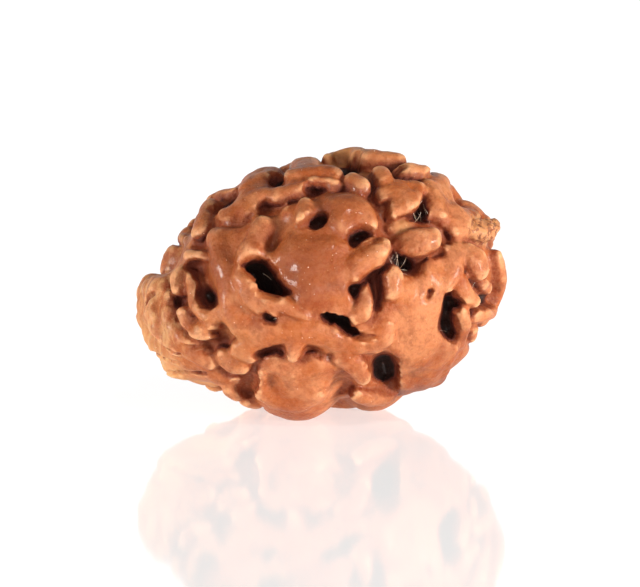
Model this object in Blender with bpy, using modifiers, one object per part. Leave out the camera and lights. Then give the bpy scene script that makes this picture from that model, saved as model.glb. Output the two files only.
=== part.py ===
# A one mukhi rudraksha: the stone of one fruit, a single hard body with a deeply lobed surface.
# The bead is drawn as seen from the front, in millimetres: right, up, and toward the viewer.
# The relief is a height over a plain ellipsoid, raised and sunk by the lobes and pits listed below.

import math

import bmesh
import bpy
import numpy as np
from mathutils import Matrix, Vector, noise

# Driving dimensions, in millimetres and degrees.
halfLength = 13.0            # the plain ellipsoid under the relief, along the bead
halfHeight = 8.95            # across the bead, in the front view
halfDepth = 8.7              # across the bead, front to back
centreRight = 0.3            # the ellipsoid's centre in the front view
centreUp = -0.15
beadTilt = 11.3              # the stem end sits higher than the tip
viewRise = 10.0              # the front view looks down by this angle

# The relief of the front, over the plain ellipsoid.
floorLevel = -0.20           # the valley floor
skirtSlope = 3.6             # how steeply a raised edge falls to the valley floor
pitSlope = 5.5               # how steep a pit's walls are
blendWidth = 0.34            # rounding where two raised places meet
pitRounding = 0.14           # rounding of a pit's edge
pitShoulder = (1.4, 1.2)     # how far a pit's bottom curves up, for its width and at most
lobeShoulder = (0.95, 0.9)   # how far a lobe's crest curves down, for its width and at most
plateDrop = 0.85             # how far a plate's rounded edge falls before it steepens
hollowRim = 0.9              # height from which the walls of outlined hollows fall
hollowFlare = 3.2            # slope of those walls above that height
straightBelow = 0.3          # below this height, pits run straight back from the front view
straightFrom = (0.15, 0.5)   # how far a place has to face the viewer for that
limbDepth = 0.25             # how much less the outline swells mind front-to-back distance
usualCrest = 0.6             # height at which pits and hollows are read in the front view
tubeReach = 1.6              # how far from its edge a lobe or pit still counts
outlineReach = 1.5           # the same for a plate or hollow
outlineWander = ((0.45, 0.20), (1.1, 0.10))   # scale and size of the edges' small shifts
patternSeed = 1795626201      # picks which way the outlines wander
rippleHeight = 0.16          # the uneven swelling of the whole surface
rippleScales = (0.62, 1.6)
finerRipple = 0.45           # share of the finer swelling
lipSwell = 0.22              # how far raised edges bulge over the pits beside them
lipHeights = (-0.5, 0.7)     # heights between which the bulging sets in
evenBelow = (0.4, -0.5)      # heights between which the pits' walls are evened out
evenPasses = 3

# The hidden sides, with the one natural groove.
hiddenFrom = (-0.36, -0.16)  # where the hidden sides' relief takes over, toward the back
hiddenTurn = 137.0           # the relief is repeated there, turned about the long axis
hiddenShare = 0.14           # width of the zone where its two copies meet
hiddenWarp = (0.16, 1.5)     # scale and size of the bends that change the pattern
seamDepth = 0.55             # the natural groove
seamWidth = 0.28
seamBends = ((0.05, 5.0, 0.0), (0.02, 13.0, 1.0))   # how far, how often and where it bends
seamLip = 0.45               # height of the groove's edges, against its depth
seamZone = (-0.1, 0.15)      # where it fades out, toward the front

# Where the bead rests.
restDepth = 10.1             # the ground, below the ellipsoid's centre
feet = [(-1.7, -2.5, 2.0), (3.9, 1.2, 1.8), (-1.7, 2.4, 3.0)]   # low points: x, y, radius
archUnder = (-1.0, 1.8, 2.6, 0.45)   # where the underside is drawn up: x, y, radius, rise
footRise = 0.7               # how fast the surface leaves the ground round a low point
footBlend = 0.15
footZone = -0.6              # only the underside below this share of the height is drawn down
flatDepth = 0.14             # how much the three low points are worn flat

# Mesh and finish.
sphereSteps = 6              # fineness of the starting sphere
voxelSize = 0.17
triangleTarget = 10500
smoothingPasses = 2
groundCutter = (0.05, 0.05, 0.01)   # metres
millimetre = 0.001
stoneColour = (0.50, 0.155, 0.060, 1.0)
stoneRoughness = 0.45

halfSizes = np.array([halfLength, halfHeight, halfDepth])

# Broad plates: height of the top, width of the rounded edge, outline points (right, up).
plates = [
    # Tip end cap, and the flank below it
    (0.75, 1.4, [(-14.6, 0.2), (-13.4, 0.4), (-12.3, 0.9), (-11.8, 0.3), (-11.5, -0.8), (-11.1, -1.8),
                 (-10.9, -2.8), (-10.4, -4.0), (-9.2, -4.7), (-8.4, -5.2), (-8.0, -6.3), (-7.2, -7.0),
                 (-6.0, -7.2), (-7.4, -8.0), (-10.0, -8.2), (-12.6, -6.5), (-14.3, -4.6), (-15.2, -2.0)]),
    # Upper left plate with the two fingers
    (0.75, 1.2, [(-6.3, 7.8), (-5.2, 9.3), (-3.4, 9.8), (-3.1, 8.7), (-3.6, 8.2), (-4.0, 7.4), (-3.1, 7.1),
                 (-2.8, 7.8), (-2.4, 8.5), (-2.2, 9.8), (-0.4, 10.2), (0.0, 9.1), (1.1, 8.9), (1.6, 8.2),
                 (1.1, 7.9), (1.4, 7.4), (0.9, 6.9), (-0.9, 6.4), (-2.0, 6.3), (-3.1, 6.0), (-3.4, 5.5),
                 (-4.6, 5.4), (-5.6, 5.0), (-6.0, 4.6), (-7.6, 4.5), (-8.0, 5.2), (-7.5, 5.8), (-6.8, 6.2),
                 (-6.4, 6.9)]),
    # Great plate, from the curl at the left to the middle and the toothed lower edge
    (0.85, 1.2, [(-7.9, 4.3), (-5.9, 4.4), (-5.0, 5.1), (-4.0, 5.25), (-3.2, 5.4), (-2.7, 5.95),
                 (-1.8, 6.1), (-1.0, 6.1), (0.0, 6.7), (1.0, 6.9), (2.2, 7.0), (3.2, 6.8), (3.9, 6.0),
                 (4.3, 4.9), (4.3, 3.7), (4.6, 2.8), (4.6, 1.8), (4.0, 1.1), (3.3, 0.5), (2.9, -0.1),
                 (3.0, -1.4), (3.6, -2.4), (4.6, -2.0), (5.6, -3.0), (5.5, -4.2), (5.0, -5.0), (4.2, -5.4),
                 (3.6, -5.3), (3.0, -5.3), (2.4, -5.7), (1.2, -5.3), (0.5, -5.4), (-0.1, -5.2),
                 (-0.6, -4.8), (-1.2, -4.9), (-1.5, -5.4), (-2.0, -5.75), (-2.4, -5.4), (-2.6, -5.0),
                 (-3.0, -4.65), (-3.6, -4.65), (-4.4, -4.95), (-4.9, -5.4), (-5.2, -6.0), (-6.3, -6.0),
                 (-7.0, -5.6), (-7.2, -5.0), (-6.7, -4.7), (-6.5, -4.0), (-6.8, -3.5), (-7.3, -3.1),
                 (-7.6, -2.5), (-7.4, -1.4), (-7.9, -0.6), (-8.3, 0.1), (-8.6, 0.7), (-8.7, 1.5),
                 (-8.6, 2.5), (-8.8, 3.3), (-8.5, 4.1)]),
    # Round middle of the great plate
    (1.35, 1.5, [(-3.4, 2.6), (-3.0, 3.3), (-2.0, 3.75), (-1.0, 3.7), (0.2, 3.6), (1.3, 3.8), (1.9, 3.0),
                 (2.1, 2.2), (2.9, 1.6), (3.2, 0.7), (2.5, -0.1), (1.9, -1.0), (1.0, -1.8), (-0.6, -2.0),
                 (-1.7, -1.9), (-2.1, -1.0), (-2.7, 0.0), (-3.3, 1.0)]),
    # Upper dome
    (1.50, 1.4, [(0.5, 5.2), (0.2, 6.2), (1.0, 6.8), (2.2, 6.9), (3.2, 6.6), (3.9, 5.9), (4.25, 4.9),
                 (4.25, 3.9), (3.6, 4.1), (2.7, 4.2), (2.0, 3.8), (1.2, 3.9), (0.8, 4.4)]),
    # Lower lobe under the toothed edge
    (0.75, 2.3, [(-5.0, -6.6), (-4.7, -5.8), (-3.9, -4.9), (-2.9, -4.9), (-2.1, -5.6), (-1.3, -5.1),
                 (-0.4, -4.9), (0.6, -5.3), (1.7, -5.9), (2.0, -6.6), (1.4, -7.1), (0.95, -7.7),
                 (0.6, -8.4), (0.25, -9.2), (-0.8, -9.8), (-1.0, -10.8), (-2.6, -11.0), (-4.5, -9.8),
                 (-5.2, -8.2), (-5.1, -7.2)]),
    # Speckled lobe at the upper right
    (1.10, 0.9, [(4.3, 7.3), (5.1, 7.85), (6.3, 7.8), (7.3, 7.7), (8.0, 7.2), (7.6, 6.6), (7.35, 6.0),
                 (7.15, 5.4), (6.7, 5.0), (6.0, 4.9), (5.1, 4.9), (4.7, 5.3), (4.6, 6.2)]),
    # Beak at the right of the middle
    (1.45, 0.7, [(2.2, 1.9), (2.7, 2.45), (3.5, 2.75), (4.3, 2.95), (5.05, 3.2), (5.05, 2.5), (4.85, 1.8),
                 (4.45, 1.25), (3.8, 0.9), (3.2, 0.5), (2.8, 0.0), (2.1, 0.3), (1.8, 1.2)]),
    # Broad right side
    (0.80, 1.1, [(5.0, -0.6), (4.9, 0.4), (5.6, 0.9), (7.1, 0.6), (7.8, 1.4), (8.3, 2.1), (9.4, 2.9),
                 (10.2, 3.3), (11.1, 3.2), (11.1, 1.6), (10.7, 0.7), (10.1, -0.1), (9.3, -0.9), (9.2, -2.0),
                 (9.0, -3.6), (10.1, -4.2), (10.9, -4.0), (11.5, -5.2), (10.6, -7.2), (8.6, -8.6),
                 (6.2, -9.2), (5.8, -8.2), (5.7, -7.0), (5.6, -6.0), (4.9, -5.3), (4.2, -4.4), (4.1, -3.0),
                 (4.1, -1.8)]),
    # Upper right side, down to the step in the outline
    (0.80, 1.1, [(8.0, 7.9), (9.0, 8.8), (10.2, 8.3), (10.5, 6.9), (11.8, 6.4), (12.4, 5.3), (11.7, 4.4),
                 (11.2, 3.4), (10.2, 3.4), (9.7, 4.2), (8.6, 4.8), (7.9, 4.9), (8.0, 6.0), (7.7, 7.0)]),
]

# Lobes: points along each lobe, as right, up, half width and height of the crest.
lobes = [
    # Long folds of the tip end cap
    [(-13.6, 0.2, 0.55, 0.85), (-14.0, -1.2, 0.85, 1.15), (-14.0, -2.6, 1.00, 1.25),
     (-13.3, -4.2, 0.90, 1.15), (-12.0, -5.3, 0.70, 1.05), (-10.4, -6.0, 0.50, 0.95)],
    [(-12.4, 0.0, 0.35, 0.80), (-12.9, -1.3, 0.50, 1.30), (-12.8, -2.6, 0.60, 1.50),
     (-12.2, -3.9, 0.60, 1.45), (-11.2, -4.9, 0.55, 1.30), (-9.8, -5.5, 0.50, 1.15),
     (-8.4, -6.1, 0.50, 0.95)],
    [(-11.5, -1.0, 0.35, 0.75), (-11.7, -2.1, 0.45, 1.10), (-11.4, -3.3, 0.50, 1.25),
     (-10.6, -4.3, 0.55, 1.20), (-9.5, -4.9, 0.45, 1.00)],
    [(-12.4, -5.8, 0.45, 0.85), (-11.2, -6.6, 0.55, 0.90), (-9.8, -7.0, 0.50, 0.60),
     (-8.4, -7.1, 0.42, 0.30), (-7.0, -7.4, 0.36, 0.25), (-6.2, -7.3, 0.28, 0.30)],
    # Left shoulder
    [(-8.5, 6.1, 0.55, 0.70), (-9.0, 5.0, 0.72, 0.75), (-9.3, 4.2, 0.70, 0.90)],
    [(-8.3, 6.6, 0.40, 0.60), (-7.4, 6.95, 0.45, 0.60), (-6.6, 7.2, 0.38, 0.60)],
    [(-10.9, 3.6, 0.45, 0.50), (-10.8, 2.6, 0.45, 0.50)],
    [(-10.2, 2.15, 0.42, 0.80), (-9.4, 2.1, 0.45, 0.70), (-8.8, 2.0, 0.45, 0.50)],
    [(-11.4, 1.1, 0.30, -0.10), (-11.5, 0.4, 0.30, 0.20)],
    [(-10.4, 1.3, 0.38, 0.70), (-10.85, 0.5, 0.45, 0.90), (-10.85, -0.4, 0.45, 1.00)],
    [(-9.7, 0.8, 0.40, 0.50), (-9.55, -0.6, 0.38, 0.60), (-9.45, -1.6, 0.46, 0.80),
     (-8.9, -2.3, 0.55, 1.00), (-8.1, -2.5, 0.50, 1.00), (-7.4, -2.3, 0.45, 0.90)],
    [(-10.5, -2.3, 0.38, 1.10), (-10.2, -3.0, 0.42, 1.25), (-9.5, -3.6, 0.45, 1.30),
     (-8.8, -3.8, 0.42, 1.25), (-8.3, -3.5, 0.35, 1.10)],
    # Rounded lobe at the lower left, and the strips under it
    [(-7.3, -5.6, 0.60, 0.70), (-6.9, -6.2, 0.70, 0.90), (-6.1, -6.3, 0.60, 0.80)],
    [(-7.0, -7.9, 0.45, 0.70), (-6.5, -8.6, 0.50, 0.75)],
    [(-5.6, -8.9, 0.40, 0.60), (-4.9, -9.2, 0.40, 0.60)],
    # Curl of the great plate, round the cavity
    [(-4.4, 4.6, 0.65, 1.10), (-5.0, 3.2, 0.75, 1.45), (-5.7, 1.5, 0.80, 1.55),
     (-5.9, 0.0, 0.80, 1.50), (-5.0, -1.2, 0.70, 1.45), (-3.6, -2.0, 0.55, 1.35)],
    [(-5.3, 0.1, 0.30, 1.50), (-4.4, -0.9, 0.32, 1.60), (-3.1, -1.6, 0.34, 1.60), (-2.0, -2.1, 0.30, 1.45),
     (-1.1, -2.5, 0.24, 1.20)],
    [(-7.7, 3.4, 0.80, 1.00), (-7.5, 1.7, 0.95, 1.10), (-7.0, -0.2, 0.90, 1.15),
     (-6.6, -2.0, 1.00, 1.10)],
    [(-6.0, -3.2, 1.00, 1.10), (-4.8, -3.7, 1.10, 1.15), (-3.0, -3.8, 0.85, 1.10),
     (-1.0, -3.6, 0.95, 1.20), (0.6, -4.2, 0.85, 1.25), (2.2, -4.6, 0.65, 1.10),
     (3.8, -4.4, 0.75, 1.35), (4.7, -4.1, 0.75, 1.40), (5.1, -3.3, 0.55, 1.20)],
    [(-6.4, -5.0, 0.60, 0.90), (-5.4, -5.4, 0.55, 0.90)],
    # Upper left plate
    [(-5.8, 7.2, 0.65, 0.75), (-5.0, 8.0, 0.80, 0.90), (-4.2, 8.4, 0.60, 0.90)],
    [(-5.7, 6.3, 0.60, 0.80), (-4.6, 6.7, 0.55, 0.85), (-2.5, 6.9, 0.55, 0.90), (-1.0, 7.3, 0.45, 0.85)],
    [(-2.1, 8.3, 0.55, 1.00), (-0.7, 8.5, 0.60, 1.05), (0.7, 8.5, 0.42, 1.10), (1.25, 8.2, 0.30, 1.05)],
    [(-0.6, 7.6, 0.35, 0.90), (0.5, 7.55, 0.35, 0.95), (1.2, 7.5, 0.28, 0.90)],
    # Top
    [(0.5, 9.6, 0.25, 0.75), (1.4, 10.0, 0.28, 0.90), (2.6, 10.2, 0.38, 1.15), (3.9, 9.8, 0.75, 1.25),
     (5.6, 9.4, 0.65, 1.15)],
    [(2.3, 7.95, 0.52, 1.10), (3.1, 7.6, 0.62, 1.25)],
    [(4.6, 8.5, 0.52, 1.15), (4.9, 7.9, 0.52, 1.20)],
    [(6.1, 8.45, 0.40, 1.00), (7.1, 8.6, 0.55, 1.20), (8.1, 8.5, 0.48, 1.15)],
    # Upper right
    [(5.6, 6.9, 0.80, 1.15), (6.4, 6.6, 0.85, 1.30), (6.7, 5.8, 0.60, 1.25)],
    [(7.7, 7.1, 0.36, 1.10), (7.2, 6.4, 0.34, 1.30), (7.05, 5.6, 0.30, 1.25)],
    [(8.4, 7.4, 0.70, 0.95), (8.9, 6.4, 0.75, 1.05), (9.2, 5.3, 0.50, 0.95)],
    [(10.0, 7.2, 0.50, 0.95), (10.6, 5.8, 0.60, 0.95), (11.0, 4.6, 0.50, 1.00)],
    [(5.3, 3.9, 0.50, 0.35), (6.2, 4.2, 0.50, 0.45), (6.9, 4.6, 0.32, 0.35)],
    # Middle
    [(-1.2, 5.9, 0.45, 1.10), (-1.3, 5.2, 0.50, 1.55), (-1.5, 4.55, 0.34, 1.60)],
    [(3.6, 1.9, 0.45, 1.50), (4.5, 2.5, 0.36, 1.70), (4.95, 2.95, 0.22, 1.65)],
    [(3.2, -0.2, 0.26, 1.10), (3.42, -1.3, 0.32, 1.35), (3.25, -2.2, 0.42, 1.35), (2.7, -2.6, 0.34, 1.20)],
    [(5.5, 0.5, 0.70, 1.35), (5.4, -0.4, 0.72, 1.35), (6.3, -0.6, 0.60, 1.05)],
    # Proud nub
    [(5.9, 2.85, 0.55, 0.45), (6.8, 2.95, 0.75, 0.95), (7.7, 3.25, 0.88, 1.40), (8.5, 3.45, 0.72, 1.50)],
    # Teeth at the bottom
    [(-2.0, -4.4, 0.60, 1.20), (-2.03, -5.0, 0.50, 1.35), (-2.05, -5.6, 0.30, 1.30)],
    [(1.9, -5.5, 0.80, 0.95), (2.7, -6.3, 0.75, 1.15), (3.35, -7.2, 0.45, 1.30)],
    [(2.5, -8.3, 0.30, 0.70), (3.3, -8.8, 0.55, 1.00), (4.5, -9.0, 0.60, 1.05), (5.4, -8.8, 0.40, 0.95)],
    # Lower lobe round its dimple
    [(-4.4, -6.8, 0.40, 0.75), (-4.5, -8.2, 0.55, 0.85), (-3.2, -9.1, 0.80, 1.00),
     (-1.8, -9.3, 0.85, 1.15), (-0.5, -8.4, 0.80, 0.95)],
    [(-1.6, -6.9, 1.00, 0.80), (0.0, -6.3, 0.85, 0.80)],
    # Right side
    [(9.6, 2.2, 0.60, 0.90), (10.2, 1.0, 0.70, 1.10), (9.6, 0.0, 0.60, 1.05)],
    [(10.1, -4.9, 0.35, 0.85), (9.7, -5.9, 0.38, 0.90), (9.0, -7.0, 0.38, 0.90), (8.3, -7.6, 0.32, 0.85)],
    [(11.3, 2.5, 0.52, 1.10), (11.9, 1.9, 0.80, 1.40), (12.1, 1.2, 0.70, 1.40)],
    [(13.5, 2.2, 0.32, 0.70), (13.85, 1.0, 0.42, 0.80), (13.8, -0.6, 0.42, 0.80), (13.5, -1.6, 0.36, 0.70)],
    [(10.6, 0.1, 0.50, 1.00), (11.2, -0.8, 0.52, 1.15), (11.7, -1.4, 0.34, 1.20)],
    [(11.6, -2.6, 0.36, 0.80), (12.5, -2.5, 0.42, 0.85), (13.2, -2.2, 0.36, 0.75)],
    [(10.7, -2.1, 0.42, 0.95), (10.95, -3.3, 0.42, 0.90), (10.7, -4.5, 0.45, 0.85)],
    [(11.5, -3.4, 0.35, 0.80), (11.6, -4.1, 0.32, 0.80)],
    [(12.1, 0.1, 0.42, 0.60), (12.8, -0.4, 0.42, 0.60)],
]

# The blunt stem end.
stemLobes = [
    [(11.9, 4.0, 0.70, 0.80), (12.8, 4.25, 0.68, 0.95), (13.45, 4.5, 0.34, 1.20)],
]

# Pits: points along each pit, as right, up, half width and level of the bottom.
pits = [
    [(-10.2, 3.8, 0.12, -0.5), (-10.1, 3.0, 0.14, -0.5)],
    [(-9.6, 3.0, 0.32, -1.5), (-9.0, 3.0, 0.34, -1.6)],
    [(-10.1, 1.35, 0.24, -0.8), (-9.4, 1.25, 0.40, -1.6), (-8.95, 0.6, 0.34, -1.4)],
    [(-10.25, 0.9, 0.06, 0.1), (-10.25, -0.6, 0.06, 0.1)],
    [(-8.8, -0.2, 0.30, -1.2), (-8.5, -0.9, 0.52, -2.0), (-8.0, -1.35, 0.44, -1.8)],
    [(-10.75, -1.4, 0.36, -1.4), (-10.35, -1.35, 0.28, -1.2)],
    [(-9.8, -4.4, 0.10, 0.4), (-8.9, -4.7, 0.16, 0.1), (-8.1, -4.2, 0.14, 0.1), (-7.8, -3.7, 0.14, 0.1)],
    [(-8.0, -3.6, 0.22, -0.2), (-7.5, -3.8, 0.32, -0.8), (-7.3, -4.5, 0.28, -1.5)],
    [(-3.2, 8.2, 0.26, -0.1), (-2.75, 9.0, 0.24, -0.1)],
    [(-4.1, 5.75, 0.46, -1.1), (-3.6, 5.75, 0.32, -0.8), (-2.9, 6.0, 0.14, 0.2), (-2.1, 6.15, 0.10, 0.2)],
    [(-0.7, 6.85, 0.36, -1.4), (0.0, 7.0, 0.22, -0.8), (0.6, 7.05, 0.10, 0.1)],
    [(5.5, 8.0, 0.22, -0.5), (6.0, 8.15, 0.12, -0.3)],
    [(7.8, 7.75, 0.08, 0.2), (8.3, 8.15, 0.12, -0.1)],
    [(-0.25, 4.35, 0.36, -1.5), (0.0, 4.6, 0.34, -1.5)],
    [(-2.1, 3.95, 0.08, 0.4), (-1.3, 3.95, 0.08, 0.2), (-0.8, 4.15, 0.14, -0.3)],
    [(-3.85, -2.4, 0.26, -0.8), (-3.35, -2.6, 0.18, -0.6)],
    # Hooded pit beside the beak
    [(2.35, 2.9, 0.26, -0.6), (2.55, 3.35, 0.38, -1.3), (3.1, 3.55, 0.30, -1.1), (3.6, 3.5, 0.12, -0.2)],
    # Crease under the beak, and the pit at its end
    [(4.7, 1.2, 0.16, -0.4), (3.9, 0.75, 0.22, -0.5), (3.2, 0.1, 0.12, -0.1), (2.9, -0.1, 0.12, -0.3)],
    [(2.5, -0.4, 0.34, -1.0), (2.5, -0.95, 0.18, -0.5)],
    [(4.15, 0.3, 0.36, -0.4), (4.2, -0.8, 0.34, -0.3), (4.2, -1.8, 0.28, 0.1)],
    # Valley right of the middle
    [(4.9, 5.8, 0.34, 0.1), (4.75, 4.8, 0.34, 0.0), (4.75, 3.8, 0.28, -0.1), (5.4, 3.2, 0.25, -0.2)],
    [(8.5, 1.9, 0.20, -0.2), (9.0, 2.15, 0.22, -0.3)],
    [(9.55, 3.5, 0.30, -1.0), (9.5, 3.2, 0.24, -0.9)],
    [(8.05, -0.5, 0.14, -0.3), (7.8, -1.05, 0.10, 0.1)],
    # Two joined pits in the lower middle
    [(2.5, -3.6, 0.24, -0.6), (3.4, -3.65, 0.12, 0.1), (3.9, -3.6, 0.06, 0.5)],
    [(3.4, -5.4, 0.14, 0.3), (3.3, -5.7, 0.10, 0.4)],
    # Dark grooves under the toothed edge
    [(-4.6, -5.3, 0.26, -0.9), (-3.9, -5.15, 0.26, -0.8), (-3.2, -5.0, 0.26, -0.3), (-2.8, -5.3, 0.20, -0.1)],
    [(-1.1, -5.25, 0.18, -0.1), (-0.5, -5.15, 0.18, -0.1), (0.0, -5.55, 0.12, 0.1)],
    # Bottom
    [(-5.1, -6.5, 0.18, -1.2), (-5.3, -7.5, 0.30, -2.2), (-5.5, -8.5, 0.34, -2.0)],
    # Right end
    [(-13.1, 0.0, 0.12, 0.10), (-13.45, -1.5, 0.15, 0.35), (-13.4, -2.9, 0.15, 0.45),
     (-12.8, -4.3, 0.15, 0.40), (-11.6, -5.3, 0.15, 0.30), (-10.2, -5.8, 0.12, 0.40)],
    [(-12.1, -0.9, 0.12, 0.00), (-12.3, -2.1, 0.15, 0.30), (-12.1, -3.3, 0.15, 0.40),
     (-11.3, -4.3, 0.15, 0.35), (-10.0, -5.1, 0.12, 0.40)],
    [(-12.6, -5.4, 0.12, 0.20), (-11.4, -6.2, 0.15, 0.05), (-10.0, -6.5, 0.15, 0.00),
     (-8.6, -6.6, 0.12, 0.00)],
    [(11.3, 3.2, 0.12, 0.0), (12.1, 2.95, 0.22, -0.7), (12.8, 2.4, 0.22, -0.7), (13.05, 1.5, 0.16, -0.4),
     (12.9, 0.5, 0.14, -0.3)],
    [(11.05, -4.3, 0.08, 0.2), (11.0, -4.6, 0.08, 0.2)],
]

# Hollows: level of the bottom, slope of the walls, how far the bottom leans right and up,
# and the outline (right, up).
hollows = [
    # Great cavity, undercut at its left and below
    (-3.4, 9.0, (-0.22, -0.08), [(-5.6, 1.15), (-5.0, 1.7), (-4.3, 1.9), (-3.65, 1.75), (-3.2, 1.05),
                                 (-2.85, 0.4), (-2.35, -0.3), (-1.9, -0.95), (-2.7, -1.2), (-3.6, -1.05),
                                 (-4.3, -0.6), (-5.0, 0.2)]),
    # Pit between the beak and the proud nub
    (-2.8, 11.0, (0.0, 0.0), [(5.2, 2.2), (5.7, 2.4), (6.4, 2.15), (7.0, 1.5), (6.7, 0.85), (6.1, 0.85),
                             (5.5, 1.3)]),
    # Two joined pits under the middle
    (-2.6, 10.0, (0.0, 0.15), [(-0.35, -2.4), (0.4, -2.05), (1.3, -2.2), (2.1, -2.35), (2.5, -2.9),
                              (2.9, -3.5), (2.4, -3.95), (1.6, -3.75), (1.1, -3.3), (0.3, -2.95)]),
    # Two joined pits at the right
    (-3.4, 12.0, (0.0, 0.0), [(9.1, -0.6), (9.8, -0.5), (10.45, -1.1), (10.3, -1.8), (10.0, -2.2),
                              (10.2, -2.9), (10.2, -3.9), (10.0, -4.5), (9.4, -4.3), (8.9, -3.6),
                              (9.0, -2.7), (9.25, -2.1), (9.15, -1.4)]),
    # Pocket at the right end
    (-1.6, 8.0, (0.0, 0.0), [(11.8, -1.4), (12.3, -0.8), (13.1, -0.8), (13.35, -1.35), (12.8, -1.75),
                             (12.1, -1.8)]),
    # Wide pit at the bottom right
    (-4.8, 10.0, (0.0, 0.0), [(4.0, -5.6), (4.7, -5.2), (5.6, -5.35), (5.95, -6.3), (6.05, -7.2),
                              (5.9, -8.0), (5.2, -8.1), (4.5, -7.9), (3.9, -7.3), (3.7, -6.5)]),
    # Pocket left of it
    (-1.9, 9.0, (0.0, 0.0), [(0.7, -8.8), (1.0, -7.8), (1.6, -7.1), (2.3, -7.4), (2.6, -8.1), (2.2, -8.6),
                             (1.5, -8.8)]),
    # Pit of the upper left plate, and the groove left of the plate
    (-3.2, 12.0, (0.0, 0.0), [(-4.1, 7.5), (-3.5, 7.2), (-2.9, 7.4), (-2.6, 8.0), (-2.9, 8.6), (-3.3, 8.4),
                              (-3.9, 8.1)]),
    (-2.0, 9.0, (0.0, 0.0), [(-8.5, 5.4), (-8.0, 5.2), (-7.5, 5.6), (-6.9, 6.1), (-6.4, 6.6), (-6.2, 7.1),
                             (-6.7, 7.1), (-7.4, 6.7), (-8.1, 6.1)]),
    # Pit under the top lobe
    (-3.2, 12.0, (0.0, 0.0), [(1.0, 8.9), (1.5, 8.3), (2.4, 8.4), (3.2, 9.0), (2.8, 9.4), (1.6, 9.45)]),
    # Three-cornered pit with fibres
    (-3.2, 12.0, (0.0, 0.0), [(7.1, 5.6), (7.5, 6.3), (7.9, 5.7), (8.1, 5.0), (7.6, 4.6), (6.6, 4.6),
                              (5.6, 4.75), (6.4, 5.0)]),
]

# Soft swells and hollows: right, up, radius, and how far the surface rises there.
swells = [
    (-6.2, 5.0, 0.6, -0.40), (-2.9, 4.4, 0.8, -0.70), (-3.6, 3.0, 0.9, -0.85), (-3.6, -7.4, 0.85, -0.80),
    (-9.4, -2.9, 0.55, -0.75), (6.8, -6.8, 0.9, -0.40), (8.7, 1.5, 0.7, -0.35), (12.6, 6.4, 1.2, -0.80),
    (-12.4, 3.2, 1.4, -0.90), (3.0, 2.25, 0.4, -0.35), (6.8, -2.2, 1.6, 0.20), (-8.0, -4.5, 0.7, -0.30),
    (7.9, -4.2, 1.3, 0.15), (-6.9, -6.3, 0.5, -0.20), (12.6, -0.5, 0.5, -0.10), (-9.8, -7.8, 1.1, -0.60),
    (-2.4, 0.9, 0.7, -0.40),
]

# The same, but round the whole limb of the front view, so that its outline is right.
outlineSwells = [
    (10.9, 6.6, 1.3, -1.00), (-12.4, 1.9, 1.1, -1.00), (-9.5, -8.0, 1.2, -0.60), (-12.6, 4.6, 0.9, -0.30),
    (-8.0, 8.8, 0.9, -0.30), (9.6, -8.2, 1.1, 0.35), (-14.0, -0.2, 0.8, 0.30), (7.4, 9.8, 1.1, 0.45),
    (-11.7, -6.7, 0.9, 0.45), (5.2, 9.6, 1.0, 0.30),
    (-11.4, 2.4, 0.9, -1.40), (-8.3, -7.9, 0.6, -0.35), (-6.0, -9.6, 0.8, 0.35), (-10.2, 6.2, 0.8, 0.30),
]


def removeOldObjects():
    for old in list(bpy.data.objects):
        bpy.data.objects.remove(old, do_unlink=True)


def smoothMax(a, b, width):
    # The higher of two heights, with the seam rounded over the given width.
    mix = np.clip(0.5 + 0.5 * (a - b) / width, 0.0, 1.0)
    return b + (a - b) * mix + width * mix * (1.0 - mix)


def smoothMin(a, b, width):
    return -smoothMax(-a, -b, width)


def smoothStep(low, high, x):
    t = np.clip((x - low) / (high - low), 0.0, 1.0)
    return t * t * (3.0 - 2.0 * t)


def domeProfile(inside, width, drop, slope):
    # Height below the crest, from the distance inside the edge: round shoulder, steep skirt.
    t = np.clip(1.0 - inside / width, 0.0, 1.0)
    shoulder = drop * (1.0 - np.sqrt(np.maximum(0.0, 1.0 - t ** 2.4)))
    return np.where(inside > 0.0, shoulder, drop - slope * inside)


def shoulderDrop(width, shoulder):
    return np.minimum(shoulder[0] * width, shoulder[1])


def frontToBead(points):
    # Turns (right, up) of the front view into the ellipsoid's own two axes.
    angle = math.radians(beadTilt)
    right = points[:, 0] - centreRight
    up = points[:, 1] - centreUp
    along = right * math.cos(angle) + up * math.sin(angle)
    across = -right * math.sin(angle) + up * math.cos(angle)
    return np.stack([along, across], 1)


def liftToSurface(points, level):
    # The point of the plain ellipsoid that lies under a front-view point at the given height.
    flat = frontToBead(points) / (halfSizes[:2] + level)
    reach = np.maximum(np.linalg.norm(flat, axis=1), 1.0)
    flat = flat / reach[:, None]
    front = np.sqrt(np.maximum(0.0, 1.0 - (flat ** 2).sum(1)))
    return np.stack([flat[:, 0], flat[:, 1], front], 1) * halfSizes


def roundedPath(points, closed, steps):
    # A smooth curve through the points (Catmull-Rom), also for their widths.
    points = np.array(points, float)
    if len(points) < 3:
        return points
    if closed:
        padded = np.concatenate([points[-1:], points, points[:2]])
    else:
        padded = np.concatenate([points[:1], points, points[-1:]])
    out = []
    for k in range(1, len(padded) - 2):
        p0, p1, p2, p3 = padded[k - 1:k + 3]
        for step in range(steps):
            t = step / steps
            out.append(0.5 * (2.0 * p1 + (p2 - p0) * t + (2.0 * p0 - 5.0 * p1 + 4.0 * p2 - p3) * t * t
                              + (3.0 * p1 - p0 - 3.0 * p2 + p3) * t ** 3))
    if not closed:
        out.append(padded[-2])
    return np.array(out)


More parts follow.
